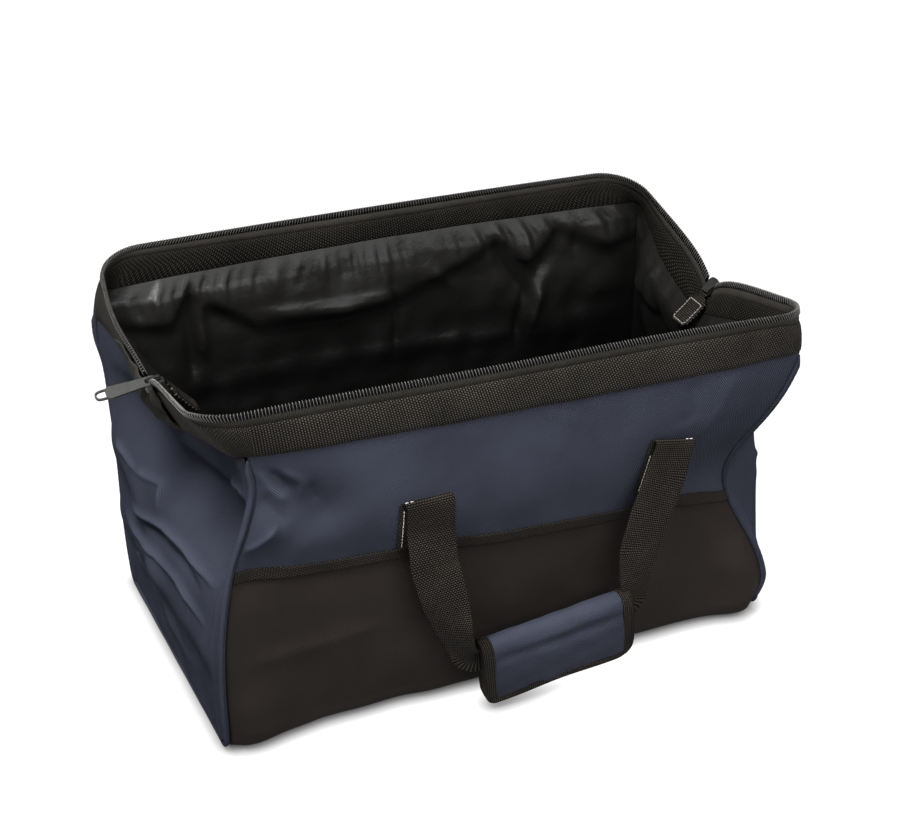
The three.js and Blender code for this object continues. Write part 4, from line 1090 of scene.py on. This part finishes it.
def make_rim(half):
    stations = rim_stations(half, BAND_END)
    head = stations["height"] - COIL_HEIGHT - TAPE_HEIGHT - 2 * GAP
    lift = BAND_LIFT[half] * clamp((np.abs(stations["lower"][:, 1]) - LIFT_FROM) / LIFT_OVER)
    outer = [
        (lift - 2.4, 1.35), (lift - 2.9, 1.8), (lift - 2.6, 2.5), (0.2 * head, 2.95),
        (0.35 * head, BAND_BELLY), (0.6 * head, 3.05), (0.85 * head, 2.4), (head - 0.7, 1.5),
        (head - 0.1, 1.0),
    ]
    inner = [
        (head - 0.1, -1.7), (head - 0.7, -2.3), (0.85 * head, -2.7), (0.7 * head, -BAND_BELLY),
        (17.6, -BAND_BELLY), (16.6, -2.7), (16.4, -0.7), (0.9, -0.7),
    ]
    band = loft(f"{half}_rim_webbing", collar(stations, outer + inner), BAND_WEAVE, travel(stations["upper"]))
    # The inner faces of the band take the darker copy of the webbing as painted shade
    band.data.materials.append(BAND_SHADED_WEAVE)
    column = np.arange(len(band.data.polygons)) % len(outer + inner)
    band.data.polygons.foreach_set("material_index", (column >= len(outer) - 1).astype(np.int32))
    dress(band, "webbing", f"{half}_rim_band")
    zip_line = rim_stations(half, ZIP_END)
    coil_foot = zip_line["height"] - COIL_HEIGHT
    foot = coil_foot - TAPE_HEIGHT
    profile = mirrored([(foot - 2.5, 0.7), (foot + 3, 0.85), (coil_foot + 1.4, 0.75)])
    tape = loft(f"{half}_zip_tape_weave", collar(zip_line, profile), TAPE_WEAVE, travel(zip_line["upper"]))
    dress(tape, "webbing", f"{half}_zip_tape")
    make_coil(half, zip_line)


def make_coil(half, line):
    """Teeth of the open zip on a core along the upper edge."""
    at = travel(line["upper"])
    where = even_places(at[-1], TOOTH_PITCH)
    up = unit(sampled(where, at, line["up"]))
    out = unit(square_to(sampled(where, at, line["out"]), up))
    axes = np.stack([np.cross(out, up), out, up], 1)
    bend = np.linspace(-1, 1, 11)
    wide = TOOTH["half_width"] * np.sign(bend) * np.abs(bend) ** 0.5
    path = np.stack([TOOTH["lean"] * bend, wide, -TOOTH["drop"] * np.abs(bend) ** 3 - TOOTH["top"]], -1)
    tooth = tube_shape(path, TOOTH["radius"], TOOTH["sides"])
    teeth = scatter(f"{half}_zip_teeth", *tooth, sampled(where, at, line["upper"]), axes, COIL)
    dress(teeth, "zip_coil", f"{half}_zip_coil")
    top = line["height"]
    core = mirrored([(top - COIL_HEIGHT, 1.0), (top - 2.0, 1.2), (top - 1.2, 0.7)])
    core.insert(3, (top - 1.0, 0))
    dress(loft(f"{half}_zip_core", collar(line, core), BLACK_THREAD, at), "zip_coil")


# Lining

def make_lining(rims):
    """One thin loose bucket that reaches up behind the rim bands."""
    names = np.repeat(RING, [LINING_COLUMNS[name] for name in RING])
    along = {name: np.linspace(0, 1, LINING_COLUMNS[name]) for name in RING}
    shares = np.concatenate([inset_share(name, along[name], 0.4, LINING_INSET) for name in RING])
    place = np.array([RING.index(name) for name in names]) + shares
    spots = np.sort(np.concatenate([place, *((corner + ROUND_CORNER) % 4 for corner in range(4))]))
    reach = 1 + LINING_RISE / WALL_HEIGHT

    def loose(name, s, level):
        """How far the lining stands in from its wall."""
        x = s * wall_span(name)
        wall = RING.index(name)
        crisp = 1.4 * fold_rise(LINING_CREASES, name, s, level, crisp=True)
        broad = fold_rise(LINING_FOLDS, name, s, level)
        uneven = ripple("lining", x, level * WALL_HEIGHT, wall)
        gathers = ripple("gathers", x, 0 * s, wall) * bell(level - GATHERS["at"], GATHERS["spread"])
        edge = np.interp(s, *SWELL_EDGE.T) if name == "back" else SWELL_FROM
        swell = SWELL * eased((level - edge) / SWELL_FALL + 0.5)
        fade = 1 - clamp(level / reach) ** 7
        snug = 0.2 + 0.8 * eased(from_seam(name, s) / LINING_SNUG)
        return np.maximum(LINING_LOOSE[name] + swell + broad + crisp + uneven + gathers, 1.0) * fade * snug

    def spread(rows):
        """From the columns of the walls to all columns, which go round the corners too."""
        return np.stack([np.interp(spots, place, row, period=4) for row in rows])

    def wall_rings(inset):
        rings = np.zeros((len(LINING_LEVELS), len(names), 3))
        for name in RING:
            mine = names == name
            t, s = np.meshgrid(LINING_LEVELS, shares[mine], indexing="ij")
            smooth = wall_point(name, s, t, fine=False)
            normal = unit(np.cross(np.gradient(smooth, axis=1), np.gradient(smooth, axis=0)))
            dip = np.maximum(-fold_rise(CREASES, name, s, t, crisp=True), 0)
            rings[:, mine] = smooth - normal * (inset + dip + loose(name, s, t))[..., None]
        return np.stack([spread(rings[..., k]) for k in range(3)], -1)

    def collar_rings(inset):
        off = np.zeros((len(COLLAR_HEIGHTS), len(names)))
        for name in RING:
            mine = names == name
            level, s = np.meshgrid(1 + COLLAR_HEIGHTS / WALL_HEIGHT, shares[mine], indexing="ij")
            off[:, mine] = inset - 0.7 + loose(name, s, level)
        off = spread(off)
        rings = np.zeros((*off.shape, 3))
        for half, rim in rims.items():
            around = np.where(spots < 1.5, spots + 4, spots) if half == "front" else spots
            mine = around >= 3.5 if half == "front" else (spots >= 1.5) & (spots < 3.5)
            order = np.argsort(rim["place"])
            at = rim["place"][order]
            lower, up, out = (sampled(around[mine], at, rim[key][order]) for key in ("lower", "up", "out"))
            rings[:, mine] = lower + unit(up) * COLLAR_HEIGHTS[:, None, None] - unit(out) * off[:, mine, None]
        return rings

    def skin(inset):
        rings = np.concatenate([wall_rings(inset), collar_rings(inset)])
        foot = rings[0]
        middle = foot.mean(axis=0)
        floor = []
        for share in LINING_FLOOR:
            ring = lerp(middle, foot, share)
            ring[:, 2] = PANEL_THICKNESS / 2 + inset + 0.5 * share ** 8 * foot[:, 2]
            floor.append(ring)
        return np.concatenate([np.array(floor), rings])

    inner, outer = (skin(inset) for inset in LINING_SKINS)
    lining = loft("lining_nylon_bucket", np.concatenate([inner, outer[::-1]]), LINING)
    dress(lining, "lining_cloth", "lining")


# Handles

def wall_face(name, x, z):
    """Depth of a wall's middle at a place on it."""
    sign = 1 if name == "front" else -1
    s = 0.5 + sign * x / BASE_LENGTH
    for _ in range(4):
        here = wall_point(name, s, z / wall_top(name, s))
        s = s + sign * (x - here[..., 0]) / wall_length(name, 0.5)
    return wall_point(name, s, z / wall_top(name, s))[..., 1]


def strap_lines(half):
    """Middle line, way across, way through and width of one strap."""
    face = HALVES[half]["face"]
    at = travel(STRAP_ROWS[:, :3])
    where = np.linspace(0, at[-1], STRAP_STATIONS)
    x, z, stand, sewn, width, turn, twist = (np.interp(where, at, column) for column in STRAP_ROWS.T)
    weights = bell(np.arange(-STRAP_BLEND, STRAP_BLEND + 1) * where[1], STRAP_SOFT)

    def smooth(values):
        padded = np.pad(values, STRAP_BLEND, mode="reflect", reflect_type="odd")
        return np.convolve(padded, weights / weights.sum(), mode="valid")

    level = np.maximum(z, STRAP_LOWEST)
    sides = [wall_face(half, x + share * width, level) for share in (-0.5, 0, 0.5)]
    depth = face * np.maximum(face * sides[1], face * (sides[0] + sides[2]) / 2)
    slope = sewn * (sides[2] - sides[0]) / width
    y = lerp(face * (BASE_WIDTH / 2 + stand), depth + face * (STRAP_CLEAR + stand), sewn)
    line = np.stack([smooth(x), smooth(y), smooth(z)], -1)
    turn, twist = np.radians(smooth(turn)), np.radians(smooth(twist))
    tangent = unit(np.gradient(line, axis=0))
    across = np.stack([np.cos(turn) * np.cos(twist), face * np.sin(twist), np.sin(turn) * np.cos(twist)], -1)
    across[:, 1] += smooth(slope) * across[:, 0]
    free = (1 - smooth(sewn))[:, None]
    across = unit(across - free * tangent * np.sum(across * tangent, axis=1, keepdims=True))
    return line, across, unit(np.cross(tangent, across)), smooth(width)


def make_strap(half):
    line, across, through, width = strap_lines(half)
    edge = [(1.0, 0.35), (0.985, 0.75), (0.94, 1), (0.7, 1), (0.35, 1), (0, 1)]
    upper = edge + [(-share, thick) for share, thick in edge[-2::-1]]
    sections = np.stack([
        line + across * (share * width / 2)[:, None] + through * (thick * STRAP_THICKNESS / 2)
        for share, thick in mirrored(upper)
    ], 1)
    strap = loft(f"{half}_handle_webbing", sections, WEBBING, travel(line))
    dress(strap, "webbing", f"{half}_handle_strap")
    out = np.array([0.0, HALVES[half]["face"], 0.0])
    rows = []
    for part in (slice(2, 30), slice(-30, -2)):
        for side in (-1, 1):
            path = line[part] + across[part] * (side * (width[part] / 2 - STITCH_INSET))[:, None]
            rows.append((path + out * (STRAP_THICKNESS / 2 + 0.1), out, STRAP_STITCH))
    middle = len(line) // 2
    over = unit(out + np.array([0.0, 0.0, 1.5]))
    shares = np.linspace(-0.97, -0.55, 8)
    for top in (line[:middle, 2].argmax(), middle + line[middle:, 2].argmax()):
        path = line[top] + np.outer(shares * width[top] / 2, across[top])
        rows.append((path + over * (STRAP_THICKNESS / 2 + THREAD_LIFT), over, FOLD_STITCH))
    dress(stitches(f"{half}_strap_stitches", rows, WHITE_THREAD), "webbing")


def grip_half_depth(up):
    """Half the depth of the padded grip at a height on it."""
    above = clamp((up - GRIP_SHOULDER) / (GRIP_TOP - GRIP_SHOULDER))
    below = clamp((up - GRIP_FOOT) / (GRIP_SHOULDER - GRIP_FOOT))
    round_top = GRIP_HALF_DEPTH * clamp(1 - above ** 3) ** 0.4
    side = lerp(GRIP_FOOT_DEPTH, GRIP_HALF_DEPTH, below ** 0.8)
    return np.where(up > GRIP_SHOULDER, round_top, side)


def grip_ring(x, foot, grow):
    """One ring of the grip at a place along it."""
    up = lerp(foot - grow, GRIP_TOP + grow, np.sin(np.linspace(0, 1, GRIP_ROWS) * math.pi / 2) ** 1.2)
    depth = grip_half_depth(np.clip(up, GRIP_FOOT, GRIP_TOP)) + grow
    depth = depth * clamp((GRIP_TOP + grow - up) / 1.5) ** 0.5
    depth[0] = depth[0] * 0.55
    front, back = (np.stack([np.full(GRIP_ROWS, x), side * depth, up], -1) for side in (-1, 1))
    return np.concatenate([front, back[::-1][1:]])


def grip_foot(x):
    """Lower edge of the grip, with rounded corners and a slight bow."""
    half = GRIP_LENGTH / 2
    radius = np.where(x > 0, *GRIP_CORNERS)
    inside = clamp((np.abs(x) - (half - radius)) / radius)
    return float(GRIP_FOOT + radius * (1 - np.sqrt(1 - inside ** 2)) + 0.8 * np.cos(x / half * 4.5))


def on_grip(points, half):
    """From the grip's own axes to the bag's."""
    x, y, z = np.moveaxis(np.asarray(points, float), -1, 0)
    cos, sin = math.cos(GRIP_TILT), math.sin(GRIP_TILT)
    face = HALVES[half]["face"]
    return np.stack([
        GRIP_CENTRE[0] + x * cos - z * sin,
        face * (BASE_WIDTH / 2 + GRIP_STAND) - face * y,
        GRIP_CENTRE[1] + x * sin + z * cos,
    ], -1)


def make_grip(half):
    end = GRIP_LENGTH / 2
    pad_end = end - PAD_MARGIN
    pad_x = np.linspace(-pad_end, pad_end, PAD_STATIONS)
    rings = np.array([grip_ring(x, grip_foot(x) + 1.0, 0.0) for x in pad_x])
    crown = (1 - (np.abs(pad_x) / pad_end) ** 4)[:, None]
    up = rings[..., 2]
    swell = sum(rise * crown * bell(up - at, width) for rise, at, width in PAD_FORM)
    swell += ripple("pad", pad_x[:, None] + 0 * up, up) * crown
    rings[..., 1] += np.sign(rings[..., 1]) * swell * clamp(np.abs(rings[..., 1]) / 3)
    pad = loft(f"{half}_grip_pad", on_grip(rings, half), NAVY)
    dress(pad, "navy_cloth", f"{half}_handle_grip")

    pieces = []
    grow = 1.0 - 0.5 * (np.linspace(-1, 1, 9) ** 6)
    for side in (-1, 1):
        xs = side * np.linspace(end - BINDING_WIDTH, end + 0.4, 9)
        band = [grip_ring(x, grip_foot(np.clip(x, -end, end)), g) for x, g in zip(xs, grow)]
        pieces.append(loft(f"{half}_binding_{side}", on_grip(band, half), WEBBING))
    edge_x = np.linspace(-end + 1.5, end - 1.5, PAD_STATIONS)
    wave = ripple("binding", edge_x, 0 * edge_x)
    depth = GRIP_FOOT_DEPTH + 1.7
    strip = []
    for x, shift in zip(edge_x, wave):
        foot = grip_foot(x)
        side = [(-depth - 0.4, foot + 7.0 + shift), (-depth, foot + 2), (-depth * 0.55, foot - 1.0)]
        strip.append([(x, y, z) for y, z in side] + [(x, -y, z) for y, z in side[::-1]])
    pieces.append(loft(f"{half}_binding_foot", on_grip(strip, half), WEBBING))
    dress(joined(f"{half}_grip_edging", pieces), "webbing", f"{half}_grip_binding")


# Zip ends

def make_tab(end):
    row = ZIP_ENDS[end]
    turns = (row["slope"], row["tab"])
    inward, drop = (math.radians(turn if row["side"] < 0 else 180 - turn) for turn in turns)
    lean = abs(math.sin(drop - inward))
    reach = SLIDER_LENGTH / 2 + GAP + lean * TAB_THICKNESS / 2
    x, z = row["centre"]
    start = np.array([x + math.cos(inward) * reach, 0, z + math.sin(inward) * reach])
    way = np.array([math.cos(drop), 0, math.sin(drop)])
    normal = np.array([-math.sin(drop), 0, math.cos(drop)]) * (1 if math.cos(drop) > 0 else -1)
    side = np.array([0.0, 1.0, 0.0])

    def half_width(x):
        neck = lerp(TAB_NECK, TAB_WIDTH / 2, clamp((x - 3) / 5))
        inside = clamp((x - (TAB_LENGTH - TAB_ROUND)) / TAB_ROUND)
        return neck - TAB_ROUND * (1 - np.sqrt(1 - inside ** 2))

    def surface(u, v):
        x = TAB_LENGTH * u
        y = (2 * v - 1) * half_width(x)
        bow = 1.2 * np.sin(math.pi * u) + 0.012 * y ** 2
        return start + x[..., None] * way + y[..., None] * side - bow[..., None] * normal * 0.6

    grid = np.linspace(0, 1, 60), np.linspace(0, 1, 30)
    tab = cloth(f"zip_tab_{end}_webbing", surface, *grid, TAB_THICKNESS, WEBBING)
    dress(tab, "webbing", f"zip_tab_{end}")
    near, far = TAB_STITCHED
    u = np.linspace(near, far, 50)
    v = np.linspace(0.1, 0.9, 30)
    out = unit(np.cross(surface(u + 0.01, 0 * u + 0.5) - surface(u, 0 * u + 0.5), side))
    lines = []
    for sign in (-1, 1):
        up = sign * out
        lift = up * (TAB_THICKNESS / 2 + THREAD_LIFT)
        lines += [(surface(u, 0 * u + edge) + lift, up, FOLD_STITCH) for edge in (0.1, 0.9)]
        for share, size in ((near, BAR_STITCH), (far, END_STITCH)):
            lines.append((surface(0 * v + share, v) + lift[:len(v)], up[:len(v)], size))
    thread = GREY_THREAD if end == "right" else BLACK_THREAD
    dress(stitches(f"zip_tab_{end}_stitches", lines, thread), "webbing")


def make_flap(end, rims):
    """Tape ends that fold over the outside of a hinge."""
    side = ZIP_ENDS[end]["side"]
    front, back, bulge = FLAPS[end]
    runs = []
    for half in ("back", "front"):
        x, y, _ = rims[half]["upper"].T
        near = np.nonzero((y > front) & (y < back) & (x * side > 0))[0]
        to_hinge = (end == "left") == (half == "back")
        runs.append((rims[half], near[::-1] if to_hinge else near))
    keys = ("lower", "up", "out", "height")
    lower, up, out, height = (np.concatenate([rim[key][near] for rim, near in runs]) for key in keys)

    def surface(u, v):
        row = u.astype(int)
        rise = lerp(-3.0, height[row] - FLAP_DROP, v)
        middle = bell(lower[row, 1] - (front + back) / 2, 15)
        hump = bulge * middle * np.sin(math.pi * clamp(v)) ** 0.6
        off = FLAP_STAND + hump + bulge * ripple("flap", lower[row, 1], rise)
        return lower[row] + up[row] * rise[..., None] + out[row] * off[..., None]

    grid = np.arange(len(lower)), np.linspace(0, 1, 22)
    dress(cloth(f"zip_end_flap_{end}", surface, *grid, FLAP_THICKNESS, TAPE_WEAVE), "webbing")


def metal_look(piece):
    """Dark metal with slightly rounded edges."""
    piece.data.materials.clear()
    piece.data.materials.append(METAL)
    weld = piece.modifiers.new("weld", "WELD")
    weld.merge_threshold = 0.001 * MM
    bevel = piece.modifiers.new("edges", "BEVEL")
    bevel.width = METAL_BEVEL * MM
    bevel.segments = 3
    bevel.limit_method = "ANGLE"


def make_metal():
    """Sliders and pulls keep their solid shape; the left pull lies turned about its length on its pin."""
    for name in ("zip_slider_left", "zip_slider_right", "zip_pull_right"):
        metal_look(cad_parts[name])
    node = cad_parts["zip_pull_left"]
    mesh = node.data.copy()
    pin = Matrix.Translation(Vector(LEFT_PIN) * MM)
    twist = Matrix.Rotation(PULL_TWIST, 4, Vector(PULL_WAY))
    mesh.transform(pin @ twist @ pin.inverted() @ node.matrix_world)
    pull = put_object("zip_pull_left_plate", mesh)
    metal_look(pull)
    dress(pull, "zip_metal", "zip_pull_left", body="left_pull")


set_stage()
make_upper_panels()
make_base()
make_end_panels()
make_piping()
make_hems()
for rim_half in HALVES:
    make_rim(rim_half)
rim_lines = {half: rim_stations(half, BAND_END) for half in HALVES}
make_lining(rim_lines)
for handle_half in HALVES:
    make_strap(handle_half)
    make_grip(handle_half)
for zip_end in ZIP_ENDS:
    make_tab(zip_end)
    make_flap(zip_end, rim_lines)
make_metal()
